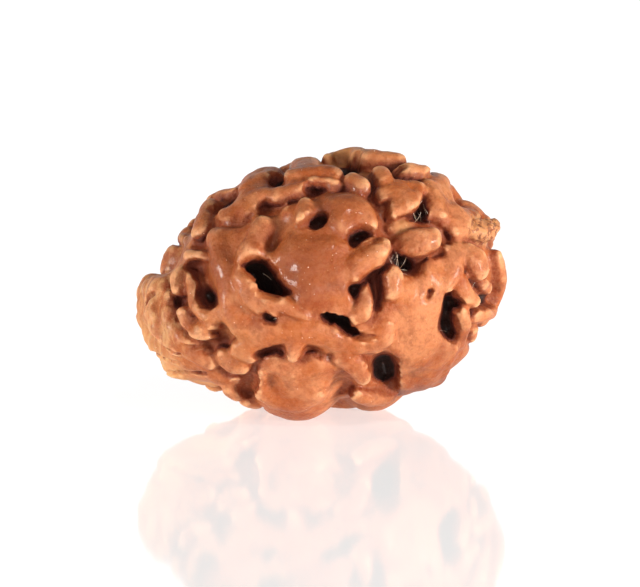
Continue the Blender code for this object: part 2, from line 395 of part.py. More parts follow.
def insideOfPath(surface, path, widths, levels):
    # Distance inside the edge of a tapered tube along the path, with its half width and level there.
    best = np.full(len(surface), -1e9)
    width = np.ones(len(surface))
    level = np.zeros(len(surface))
    last = len(path) - 1
    for k in range(max(last, 1)):
        m = min(k + 1, last)
        step = path[m] - path[k]
        t = np.clip(((surface - path[k]) @ step) / max(step @ step, 1e-9), 0.0, 1.0)
        here = widths[k] + (widths[m] - widths[k]) * t
        inside = here - np.linalg.norm(surface - (path[k] + t[:, None] * step), axis=1)
        better = inside > best
        best = np.where(better, inside, best)
        width = np.where(better, here, width)
        level = np.where(better, levels[k] + (levels[m] - levels[k]) * t, level)
    return best, width, level


def insideOfOutline(surface, outline, level):
    # Signed distance inside a closed outline of the front view, for the points near it.
    smooth = roundedPath(outline, True, 4)
    path = liftToSurface(smooth, level)
    front = frontOf(surface, level)
    near = np.all((front > smooth.min(0) - outlineReach) & (front < smooth.max(0) + outlineReach), axis=1)
    surface = surface[near]
    front = front[near]
    edge = np.full(len(surface), 1e9)
    for a, b in zip(path, np.roll(path, -1, axis=0)):
        step = b - a
        t = np.clip(((surface - a) @ step) / max(step @ step, 1e-9), 0.0, 1.0)
        edge = np.minimum(edge, np.linalg.norm(surface - (a + t[:, None] * step), axis=1))
    crossings = np.zeros(len(surface), bool)
    for a, b in zip(smooth, np.roll(smooth, -1, axis=0)):
        spans = (a[1] > front[:, 1]) != (b[1] > front[:, 1])
        rise = b[1] - a[1] if abs(b[1] - a[1]) > 1e-9 else 1e-9
        crossings ^= spans & (front[:, 0] < a[0] + (front[:, 1] - a[1]) * (b[0] - a[0]) / rise)
    return near, np.where(crossings, edge, -edge)


def applyTube(height, surface, points, carve):
    # Raises a lobe along the points, or sinks a pit.
    smooth = roundedPath(points, False, 3)
    place = np.full(len(smooth), usualCrest) if carve else smooth[:, 3]
    path = liftToSurface(smooth[:, :2], place[:, None])
    reach = smooth[:, 2].max() + tubeReach
    near = np.all((surface > path.min(0) - reach) & (surface < path.max(0) + reach), axis=1)
    if not near.any():
        return
    inside, width, level = insideOfPath(surface[near], path, smooth[:, 2], smooth[:, 3])
    if carve:
        cut = level + domeProfile(inside, width, shoulderDrop(width, pitShoulder), pitSlope)
        height[near] = smoothMin(height[near], cut, pitRounding)
    else:
        crest = level - domeProfile(inside, width, shoulderDrop(width, lobeShoulder), skirtSlope)
        height[near] = smoothMax(height[near], crest, blendWidth)


def wandered(surface):
    # The places at which the lists are read, on the front or mirrored behind it.
    for scale, amount in outlineWander:
        surface = wander(surface, scale, amount)
    surface[:, 2] = np.abs(surface[:, 2])
    return surface


def listedRelief(surface, withStem):
    # Height over the ellipsoid, from the listed plates, lobes and pits of the front view.
    surface = wandered(surface)
    height = np.full(len(surface), floorLevel)
    for level, edge, outline in plates:
        near, inside = insideOfOutline(surface, outline, level)
        crest = level - domeProfile(inside, edge, plateDrop, skirtSlope)
        height[near] = smoothMax(height[near], crest, blendWidth)
    for points in lobes + (stemLobes if withStem else []):
        applyTube(height, surface, points, False)
    for right, up, radius, rise in swells:
        place = liftToSurface(np.array([[right, up]]), usualCrest)[0]
        away = ((surface - place) ** 2).sum(1) / radius ** 2
        height += rise * np.exp(-away)
    for bottom, slope, _, outline in hollows:
        near, inside = insideOfOutline(surface, outline, usualCrest)
        cut = np.maximum(bottom, hollowRim - np.where(inside > 0.0, slope, hollowFlare) * inside)
        height[near] = smoothMin(height[near], cut, pitRounding)
    for points in pits:
        applyTube(height, surface, points, True)
    return height


def leanOf(directions, height):
    # Sideways shift that makes the front's pits run straight back, and hollows lean further.
    shift = np.zeros_like(directions)
    facing = smoothStep(straightFrom[0], straightFrom[1], directions[:, 2])
    depth = np.maximum(0.0, straightBelow - height) * facing
    shift[:, :2] = directions[:, :2] * depth[:, None]
    front = directions[:, 2] > straightFrom[0]
    surface = wandered(directions[front] * halfSizes)
    extra = np.zeros((len(surface), 2))
    angle = math.radians(beadTilt)
    for bottom, slope, (right, up), outline in hollows:
        near, inside = insideOfOutline(surface, outline, usualCrest)
        along = right * math.cos(angle) + up * math.sin(angle)
        across = -right * math.sin(angle) + up * math.cos(angle)
        sunk = np.clip(slope * inside, 0.0, hollowRim - bottom)
        extra[near] += sunk[:, None] * np.array([along, across])
    shift[front, :2] += extra * facing[front, None]
    return shift


def turnedRelief(directions, turn, flipAlong, flipAcross, seedShift):
    # The listed relief again, turned about the bead's long axis and warped into another pattern.
    angle = math.radians(turn)
    across = directions[:, 1] * math.cos(angle) - directions[:, 2] * math.sin(angle)
    front = directions[:, 1] * math.sin(angle) + directions[:, 2] * math.cos(angle)
    along = directions[:, 0] * (-1.0 if flipAlong else 1.0)
    turned = np.stack([along, across * (-1.0 if flipAcross else 1.0), front], 1)
    bent = wander(turned * halfSizes + seedShift, hiddenWarp[0], hiddenWarp[1]) - seedShift
    bent /= np.linalg.norm(bent / halfSizes, axis=1)[:, None]
    return listedRelief(bent, False)


def frontOf(surface, level):
    # Where points of the plain ellipsoid are seen in the front view, once raised to the level.
    bead = surface[:, :2] * (1.0 + level / halfSizes[:2])
    angle = math.radians(beadTilt)
    right = bead[:, 0] * math.cos(angle) - bead[:, 1] * math.sin(angle) + centreRight
    up = bead[:, 0] * math.sin(angle) + bead[:, 1] * math.cos(angle) + centreUp
    return np.stack([right, up], 1)


def wander(points, scale, amount):
    # A small steady shift of each point, so that no edge runs quite true.
    shift = [noise.noise_vector(Vector(p) * scale) for p in points]
    return points + amount * np.array(shift)


def seamHeight(directions):
    # The single natural groove, from the stem end to the tip along the hidden side.
    along = directions[:, 0]
    drift = sum(size * np.sin(often * along + start) for size, often, start in seamBends)
    around = np.arctan2(directions[:, 1], -directions[:, 2])
    away = np.abs(around - drift) * np.hypot(directions[:, 1], directions[:, 2]) * halfHeight
    onBack = smoothStep(seamZone[0], seamZone[1], -directions[:, 2])
    groove = -seamDepth * np.exp(-(away / seamWidth) ** 2)
    lips = seamLip * seamDepth * np.exp(-((away - 2.6 * seamWidth) / (1.6 * seamWidth)) ** 2)
    return (groove + lips) * onBack


def reliefOf(directions):
    # Height over the ellipsoid in each direction from its centre.
    back = directions[:, 2] < hiddenFrom[1]
    hidden = np.zeros(len(directions))
    behind = directions[back]
    upper = turnedRelief(behind, hiddenTurn, True, False, np.array([31.0, 0.0, 0.0]))
    lower = turnedRelief(behind, -hiddenTurn, False, True, np.array([0.0, 47.0, 0.0]))
    share = smoothStep(-hiddenShare, hiddenShare, behind[:, 1])
    hidden[back] = upper * share + lower * (1.0 - share) + seamHeight(behind)
    weight = smoothStep(hiddenFrom[0], hiddenFrom[1], directions[:, 2])
    shown = np.zeros(len(directions))
    seen = directions[:, 2] > hiddenFrom[0]
    shown[seen] = listedRelief(directions[seen] * halfSizes, True)
    surface = directions * halfSizes
    ripple = np.array([noise.noise(Vector(p) * rippleScales[0])
                       + finerRipple * noise.noise(Vector(p) * rippleScales[1]) for p in surface])
    height = shown * weight + hidden * (1.0 - weight) + rippleHeight * ripple
    for right, up, radius, rise in outlineSwells:
        place = liftToSurface(np.array([[right, up]]), usualCrest)[0]
        away = (((surface - place) * np.array([1.0, 1.0, limbDepth])) ** 2).sum(1) / radius ** 2
        height += rise * np.exp(-away)
    return height


def spherePoints(steps):
    sphere = bmesh.new()
    bmesh.ops.create_icosphere(sphere, subdivisions=steps, radius=1.0)
    mesh = bpy.data.meshes.new("bead_start")
    sphere.to_mesh(mesh)
    sphere.free()
    directions = np.empty(len(mesh.vertices) * 3)
    mesh.vertices.foreach_get("co", directions)
    return mesh, directions.reshape(-1, 3)


def setPoints(mesh, points):
    mesh.vertices.foreach_set("co", points.ravel())
    mesh.update()


def normalsOf(mesh):
    normals = np.empty(len(mesh.vertices) * 3, np.float32)
    mesh.vertex_normals.foreach_get("vector", normals)
    return normals.reshape(-1, 3).astype(float)


def evenedOut(mesh, points, share, passes):
    # Draws each point toward the mean of its neighbours, by its own share.
    ends = np.empty(len(mesh.edges) * 2, np.int32)
    mesh.edges.foreach_get("vertices", ends)
    a, b = ends[0::2], ends[1::2]
    count = np.bincount(ends, minlength=len(points))
    for _ in range(passes):
        mean = np.empty_like(points)
        for k in range(3):
            mean[:, k] = np.bincount(a, points[b, k], len(points)) + np.bincount(b, points[a, k], len(points))
        points = points + (mean / count[:, None] - points) * share[:, None]
    return points


def carvedMesh(steps):
    # The sphere raised to the bead's relief, then with its raised edges swollen over the pits.
    noise.seed_set(patternSeed)
    mesh, directions = spherePoints(steps)
    directions /= np.linalg.norm(directions, axis=1)[:, None]
    height = reliefOf(directions)
    points = directions * (halfSizes + height[:, None]) + leanOf(directions, height)
    points = evenedOut(mesh, points, smoothStep(evenBelow[0], evenBelow[1], height), evenPasses)
    swell = lipSwell * smoothStep(lipHeights[0], lipHeights[1], height)
    for push in (0.5, 0.5):
        setPoints(mesh, points)
        points = points + normalsOf(mesh) * (push * swell)[:, None]
    setPoints(mesh, points)
    return mesh


def appliedObject(piece):
    # Makes the modifiers' result the object's own mesh.
    graph = bpy.context.evaluated_depsgraph_get()
    mesh = bpy.data.meshes.new_from_object(piece.evaluated_get(graph))
    old = piece.data
    piece.modifiers.clear()
    piece.data = mesh
    bpy.data.meshes.remove(old)


def keepLargestShell(mesh):
    # Removes any sealed bubble left inside the body.
    body = bmesh.new()
    body.from_mesh(mesh)
    body.faces.ensure_lookup_table()
    unseen = set(body.faces)
    shells = []
    while unseen:
        stack = [unseen.pop()]
        shell = list(stack)
        while stack:
            for edge in stack.pop().edges:
                for face in edge.link_faces:
                    if face in unseen:
                        unseen.remove(face)
                        stack.append(face)
                        shell.append(face)
        shells.append(shell)
    shells.sort(key=len)
    for shell in shells[:-1]:
        bmesh.ops.delete(body, geom=shell, context="FACES")
    loose = [point for point in body.verts if not point.link_faces]
    bmesh.ops.delete(body, geom=loose, context="VERTS")
    body.to_mesh(mesh)
    body.free()


def standUp(mesh):
    # From the ellipsoid's own axes to the bead's frame: +X right, +Y away, +Z up.
    tilt = Matrix.Rotation(math.radians(beadTilt), 4, "Z")
    place = Matrix.Translation((centreRight, centreUp, 0.0))
    rise = Matrix.Rotation(math.radians(90.0 - viewRise), 4, "X")
    mesh.transform(rise @ place @ tilt)


def drawDownFeet(mesh):
    # Draws the underside down at the three low points that the bead rests on.
    points = np.empty(len(mesh.vertices) * 3)
    mesh.vertices.foreach_get("co", points)
    points = points.reshape(-1, 3)
    below = points[:, 2] < footZone * halfHeight
    x, y, radius, rise = archUnder
    away = ((points[below, 0] - x) ** 2 + (points[below, 1] - y) ** 2) / radius ** 2
    points[below, 2] += rise * np.exp(-away)
    for x, y, radius in feet:
        away = ((points[:, 0] - x) ** 2 + (points[:, 1] - y) ** 2) / radius ** 2
        foot = -restDepth + footRise * away
        points[below, 2] = smoothMin(points[below, 2], foot[below], footBlend)
    points[:, 2] = np.maximum(points[:, 2], -restDepth)
    setPoints(mesh, points)


def makeBead(collection, name, steps, voxel, triangles, smoothing):
    # One closed body, still in millimetres round the ellipsoid's centre.
    piece = bpy.data.objects.new(name, carvedMesh(steps))
    collection.objects.link(piece)
    standUp(piece.data)
    drawDownFeet(piece.data)
    remesh = piece.modifiers.new("even mesh", "REMESH")
    remesh.mode = "VOXEL"
    remesh.voxel_size = voxel
    appliedObject(piece)
    keepLargestShell(piece.data)
    smooth = piece.modifiers.new("worn smooth", "SMOOTH")
    smooth.factor = 0.5
    smooth.iterations = smoothing
    fewer = piece.modifiers.new("fewer faces", "DECIMATE")
    fewer.ratio = min(1.0, triangles / (2.0 * len(piece.data.polygons)))
    appliedObject(piece)
    return piece


def setInFrame(mesh):
    # To metres, centred over the origin, with the worn underside a little below the ground plane.
    points = np.empty(len(mesh.vertices) * 3)
    mesh.vertices.foreach_get("co", points)
    points = points.reshape(-1, 3)
    low, high = points.min(0), points.max(0)
    middle = (low + high) / 2.0
    shift = Matrix.Translation((-middle[0], -middle[1], -low[2] - flatDepth))
    mesh.transform(Matrix.Scale(millimetre, 4) @ shift)
    mesh.update()


def newCollection(name):
    collection = bpy.data.collections.new(name)
    bpy.context.scene.collection.children.link(collection)
    return collection


def stoneMaterial():
    # Waxy brown stone, as the photograph's middle tone.
    material = bpy.data.materials.new("rudraksha_stone")
    material.use_nodes = True
    shader = material.node_tree.nodes["Principled BSDF"]
    shader.inputs["Base Color"].default_value = stoneColour
    shader.inputs["Roughness"].default_value = stoneRoughness
    shader.inputs["Metallic"].default_value = 0.0
    return material


def wearFlat(piece, cutters):
    # Cuts the three low points level with the ground.
    bpy.ops.mesh.primitive_cube_add(size=1.0)
    ground = bpy.context.object
    ground.name = "ground_cutter"
    ground.data.transform(Matrix.Diagonal((*groundCutter, 1.0)))
    ground.data.transform(Matrix.Translation((0.0, 0.0, -groundCutter[2] / 2.0)))
    for owner in list(ground.users_collection):
        owner.objects.unlink(ground)
    cutters.objects.link(ground)
    ground.hide_render = True
    ground.display_type = "WIRE"
    cut = piece.modifiers.new("worn flat", "BOOLEAN")
    cut.operation = "DIFFERENCE"
    cut.solver = "EXACT"
    cut.object = ground


def buildPart():
    removeOldObjects()
    parts = newCollection("one_mukhi_rudraksha")
    cutters = newCollection("cutters")
    bead = makeBead(parts, "rudraksha_bead", sphereSteps, voxelSize, triangleTarget, smoothingPasses)
    setInFrame(bead.data)
    bead.data.shade_smooth()
    bead.data.materials.append(stoneMaterial())
    wearFlat(bead, cutters)


buildPart()
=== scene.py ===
# A one mukhi rudraksha on a pale floor: one deeply lobed fruit stone, with its dust and fibres.
import math

import bmesh
import bpy
import numpy as np
from mathutils import Matrix, Vector, noise
from mathutils.bvhtree import BVHTree


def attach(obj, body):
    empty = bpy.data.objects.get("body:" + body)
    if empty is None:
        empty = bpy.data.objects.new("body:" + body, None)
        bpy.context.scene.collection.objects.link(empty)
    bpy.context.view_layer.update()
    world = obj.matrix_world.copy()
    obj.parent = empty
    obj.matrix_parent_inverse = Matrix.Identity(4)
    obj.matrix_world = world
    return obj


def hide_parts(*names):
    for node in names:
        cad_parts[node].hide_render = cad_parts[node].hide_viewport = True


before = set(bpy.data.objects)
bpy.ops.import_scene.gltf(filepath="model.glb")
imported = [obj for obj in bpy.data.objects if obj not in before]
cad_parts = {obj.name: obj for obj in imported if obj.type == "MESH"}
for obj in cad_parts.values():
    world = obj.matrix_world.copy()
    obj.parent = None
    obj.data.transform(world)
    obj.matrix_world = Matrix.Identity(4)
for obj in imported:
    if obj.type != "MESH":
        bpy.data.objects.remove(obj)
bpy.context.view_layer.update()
print("stage: frame loaded")

# The stone's main sizes, in millimetres and degrees.
stoneForm = {
    "halfLength": 13.0,              # the plain ellipsoid under the relief, along the bead
    "halfHeight": 8.95,              # across the bead, in the front view
    "halfDepth": 8.7,                # across the bead, front to back
    "centreRight": 0.3,              # the ellipsoid's centre in the front view
    "centreUp": -0.15,
    "beadTilt": 11.3,                # the stem end sits higher than the tip
    "viewRise": 10.0,                # the front view looks down by this angle
    # The relief of the front, over the plain ellipsoid.
    "floorLevel": -0.20,             # the valley floor
    "skirtSlope": 3.6,               # how steeply a raised edge falls to the valley floor
    "pitSlope": 5.5,                 # how steep a pit's walls are
    "blendWidth": 0.34,              # rounding where two raised places meet
    "pitRounding": 0.14,             # rounding of a pit's edge
    "pitShoulder": (1.4, 1.2),       # how far a pit's bottom curves up, for its width and at most
    "lobeShoulder": (0.95, 0.9),     # how far a lobe's crest curves down, for its width and at most
    "plateDrop": 0.85,               # how far a plate's rounded edge falls before it steepens
    "hollowRim": 0.9,                # height from which the walls of outlined hollows fall
    "hollowFlare": 3.2,              # slope of those walls above that height
    "straightBelow": 0.3,            # below this height, pits run straight back from the front view
    "straightFrom": (0.15, 0.5),     # how far a place has to face the viewer for that
    "limbDepth": 0.25,               # how much less the outline swells mind front-to-back distance
    "usualCrest": 0.6,               # height at which pits and hollows are read in the front view
    "tubeReach": 1.6,                # how far from its edge a lobe or pit still counts
    "outlineReach": 1.5,             # the same for a plate or hollow
    "outlineWander": ((0.45, 0.20), (1.1, 0.10)), # scale and size of the edges' small shifts
    "patternSeed": 1795626201,       # picks which way the outlines wander
    "rippleHeight": 0.16,            # the uneven swelling of the whole surface
    "rippleScales": (0.62, 1.6),
    "finerRipple": 0.45,             # share of the finer swelling
    "lipSwell": 0.22,                # how far raised edges bulge over the pits beside them
    "lipHeights": (-0.5, 0.7),       # heights between which the bulging sets in
    "evenBelow": (0.4, -0.5),        # heights between which the pits' walls are evened out
    "evenPasses": 5,
    # The hidden sides, with the one natural groove.
    "hiddenFrom": (-0.36, -0.16),    # where the hidden sides' relief takes over, toward the back
    "hiddenTurn": 137.0,             # the relief is repeated there, turned about the long axis
    "hiddenShare": 0.14,             # width of the zone where its two copies meet
    "hiddenWarp": (0.16, 1.5),       # scale and size of the bends that change the pattern
    "seamDepth": 0.55,               # the natural groove
    "seamWidth": 0.28,
    "seamBends": ((0.05, 5.0, 0.0), (0.02, 13.0, 1.0)), # how far, how often and where it bends
    "seamLip": 0.45,                 # height of the groove's edges, against its depth
    "seamZone": (-0.1, 0.15),        # where it fades out, toward the front
    # Where the bead rests.
    "restDepth": 10.1,               # the ground, below the ellipsoid's centre
    "feet": [(-1.7, -2.5, 2.0), (3.9, 1.2, 1.8), (-1.7, 2.4, 3.0)], # low points: x, y, radius
    "archUnder": (-1.0, 1.8, 2.6, 0.45), # where the underside is drawn up: x, y, radius, rise
    "footRise": 0.7,                 # how fast the surface leaves the ground round a low point
    "footBlend": 0.15,
    "footZone": -0.6,                # only the underside below this share of the height is drawn down
    "flatDepth": 0.14,               # how much the three low points are worn flat
    # Mesh and finish.
    "sphereSteps": 7,                # fineness of the starting sphere
    "voxelSize": 0.100,
    "triangleTarget": 190000,
    "smoothingPasses": 3,
    "millimetre": 0.001,
}
halfSizes = np.array([stoneForm["halfLength"], stoneForm["halfHeight"], stoneForm["halfDepth"]])

# Broad plates: height of the top, width of the rounded edge, outline points (right, up).
plates = [
    # Tip end cap, and the flank below it
    (0.75, 1.4, [(-14.6, 0.2), (-13.4, 0.4), (-12.3, 0.9), (-11.8, 0.3), (-11.5, -0.8), (-11.1, -1.8),
                 (-10.9, -2.8), (-10.4, -4.0), (-9.2, -4.7), (-8.4, -5.2), (-8.0, -6.3), (-7.2, -7.0),
                 (-6.0, -7.2), (-7.4, -8.0), (-10.0, -8.2), (-12.6, -6.5), (-14.3, -4.6), (-15.2, -2.0)]),
    # Upper left plate with the two fingers
    (0.75, 1.2, [(-6.3, 7.8), (-5.2, 9.3), (-3.4, 9.8), (-3.1, 8.7), (-3.6, 8.2), (-4.0, 7.4), (-3.1, 7.1),
                 (-2.8, 7.8), (-2.4, 8.5), (-2.2, 9.8), (-0.4, 10.2), (0.0, 9.1), (1.1, 8.9), (1.6, 8.2),
                 (1.1, 7.9), (1.4, 7.4), (0.9, 6.9), (-0.9, 6.4), (-2.0, 6.3), (-3.1, 6.0), (-3.4, 5.5),
                 (-4.6, 5.4), (-5.6, 5.0), (-6.0, 4.6), (-7.6, 4.5), (-8.0, 5.2), (-7.5, 5.8), (-6.8, 6.2),
                 (-6.4, 6.9)]),
    # Great plate, from the curl at the left to the middle and the toothed lower edge
    (0.85, 1.2, [(-7.9, 4.3), (-5.9, 4.4), (-5.0, 5.1), (-4.0, 5.25), (-3.2, 5.4), (-2.7, 5.95),
                 (-1.8, 6.1), (-1.0, 6.1), (0.0, 6.7), (1.0, 6.9), (2.2, 7.0), (3.2, 6.8), (3.9, 6.0),
                 (4.3, 4.9), (4.3, 3.7), (4.6, 2.8), (4.6, 1.8), (4.0, 1.1), (3.3, 0.5), (2.9, -0.1),
                 (3.0, -1.4), (3.6, -2.4), (4.6, -2.0), (5.6, -3.0), (5.5, -4.2), (5.0, -5.0), (4.2, -5.4),
                 (3.6, -5.3), (3.0, -5.3), (2.4, -5.7), (1.2, -5.3), (0.5, -5.4), (-0.1, -5.2),
                 (-0.6, -4.8), (-1.2, -4.9), (-1.5, -5.4), (-2.0, -5.75), (-2.4, -5.4), (-2.6, -5.0),
                 (-3.0, -4.65), (-3.6, -4.65), (-4.4, -4.95), (-4.9, -5.4), (-5.2, -6.0), (-6.3, -6.0),
                 (-7.0, -5.6), (-7.2, -5.0), (-6.7, -4.7), (-6.5, -4.0), (-6.8, -3.5), (-7.3, -3.1),
                 (-7.6, -2.5), (-7.4, -1.4), (-7.9, -0.6), (-8.3, 0.1), (-8.6, 0.7), (-8.7, 1.5),
                 (-8.6, 2.5), (-8.8, 3.3), (-8.5, 4.1)]),
    # Round middle of the great plate
    (1.35, 1.5, [(-3.4, 2.6), (-3.0, 3.3), (-2.0, 3.75), (-1.0, 3.7), (0.2, 3.6), (1.3, 3.8), (1.9, 3.0),
                 (2.1, 2.2), (2.9, 1.6), (3.2, 0.7), (2.5, -0.1), (1.9, -1.0), (1.0, -1.8), (-0.6, -2.0),
                 (-1.7, -1.9), (-2.1, -1.0), (-2.7, 0.0), (-3.3, 1.0)]),
    # Upper dome
    (1.50, 1.4, [(0.5, 5.2), (0.2, 6.2), (1.0, 6.8), (2.2, 6.9), (3.2, 6.6), (3.9, 5.9), (4.25, 4.9),
                 (4.25, 3.9), (3.6, 4.1), (2.7, 4.2), (2.0, 3.8), (1.2, 3.9), (0.8, 4.4)]),
    # Lower lobe under the toothed edge
    (0.75, 2.3, [(-5.0, -6.6), (-4.7, -5.8), (-3.9, -4.9), (-2.9, -4.9), (-2.1, -5.6), (-1.3, -5.1),
                 (-0.4, -4.9), (0.6, -5.3), (1.7, -5.9), (2.0, -6.6), (1.4, -7.1), (0.95, -7.7),
                 (0.6, -8.4), (0.25, -9.2), (-0.8, -9.8), (-1.0, -10.8), (-2.6, -11.0), (-4.5, -9.8),
                 (-5.2, -8.2), (-5.1, -7.2)]),
    # Speckled lobe at the upper right
    (1.10, 0.9, [(4.3, 7.3), (5.1, 7.85), (6.3, 7.8), (7.3, 7.7), (8.0, 7.2), (7.6, 6.6), (7.35, 6.0),
                 (7.15, 5.4), (6.7, 5.0), (6.0, 4.9), (5.1, 4.9), (4.7, 5.3), (4.6, 6.2)]),
    # Beak at the right of the middle
    (1.45, 0.7, [(2.2, 1.9), (2.7, 2.45), (3.5, 2.75), (4.3, 2.95), (5.05, 3.2), (5.05, 2.5), (4.85, 1.8),
                 (4.45, 1.25), (3.8, 0.9), (3.2, 0.5), (2.8, 0.0), (2.1, 0.3), (1.8, 1.2)]),
    # Broad right side
    (0.80, 1.1, [(5.0, -0.6), (4.9, 0.4), (5.6, 0.9), (7.1, 0.6), (7.8, 1.4), (8.3, 2.1), (9.4, 2.9),
                 (10.2, 3.3), (11.1, 3.2), (11.1, 1.6), (10.7, 0.7), (10.1, -0.1), (9.3, -0.9), (9.2, -2.0),
                 (9.0, -3.6), (10.1, -4.2), (10.9, -4.0), (11.5, -5.2), (10.6, -7.2), (8.6, -8.6),
                 (6.2, -9.2), (5.8, -8.2), (5.7, -7.0), (5.6, -6.0), (4.9, -5.3), (4.2, -4.4), (4.1, -3.0),
                 (4.1, -1.8)]),
    # Upper right side, down to the step in the outline
    (0.80, 1.1, [(8.0, 7.9), (9.0, 8.8), (10.2, 8.3), (10.5, 6.9), (11.8, 6.4), (12.4, 5.3), (11.7, 4.4),
                 (11.2, 3.4), (10.2, 3.4), (9.7, 4.2), (8.6, 4.8), (7.9, 4.9), (8.0, 6.0), (7.7, 7.0)]),
]

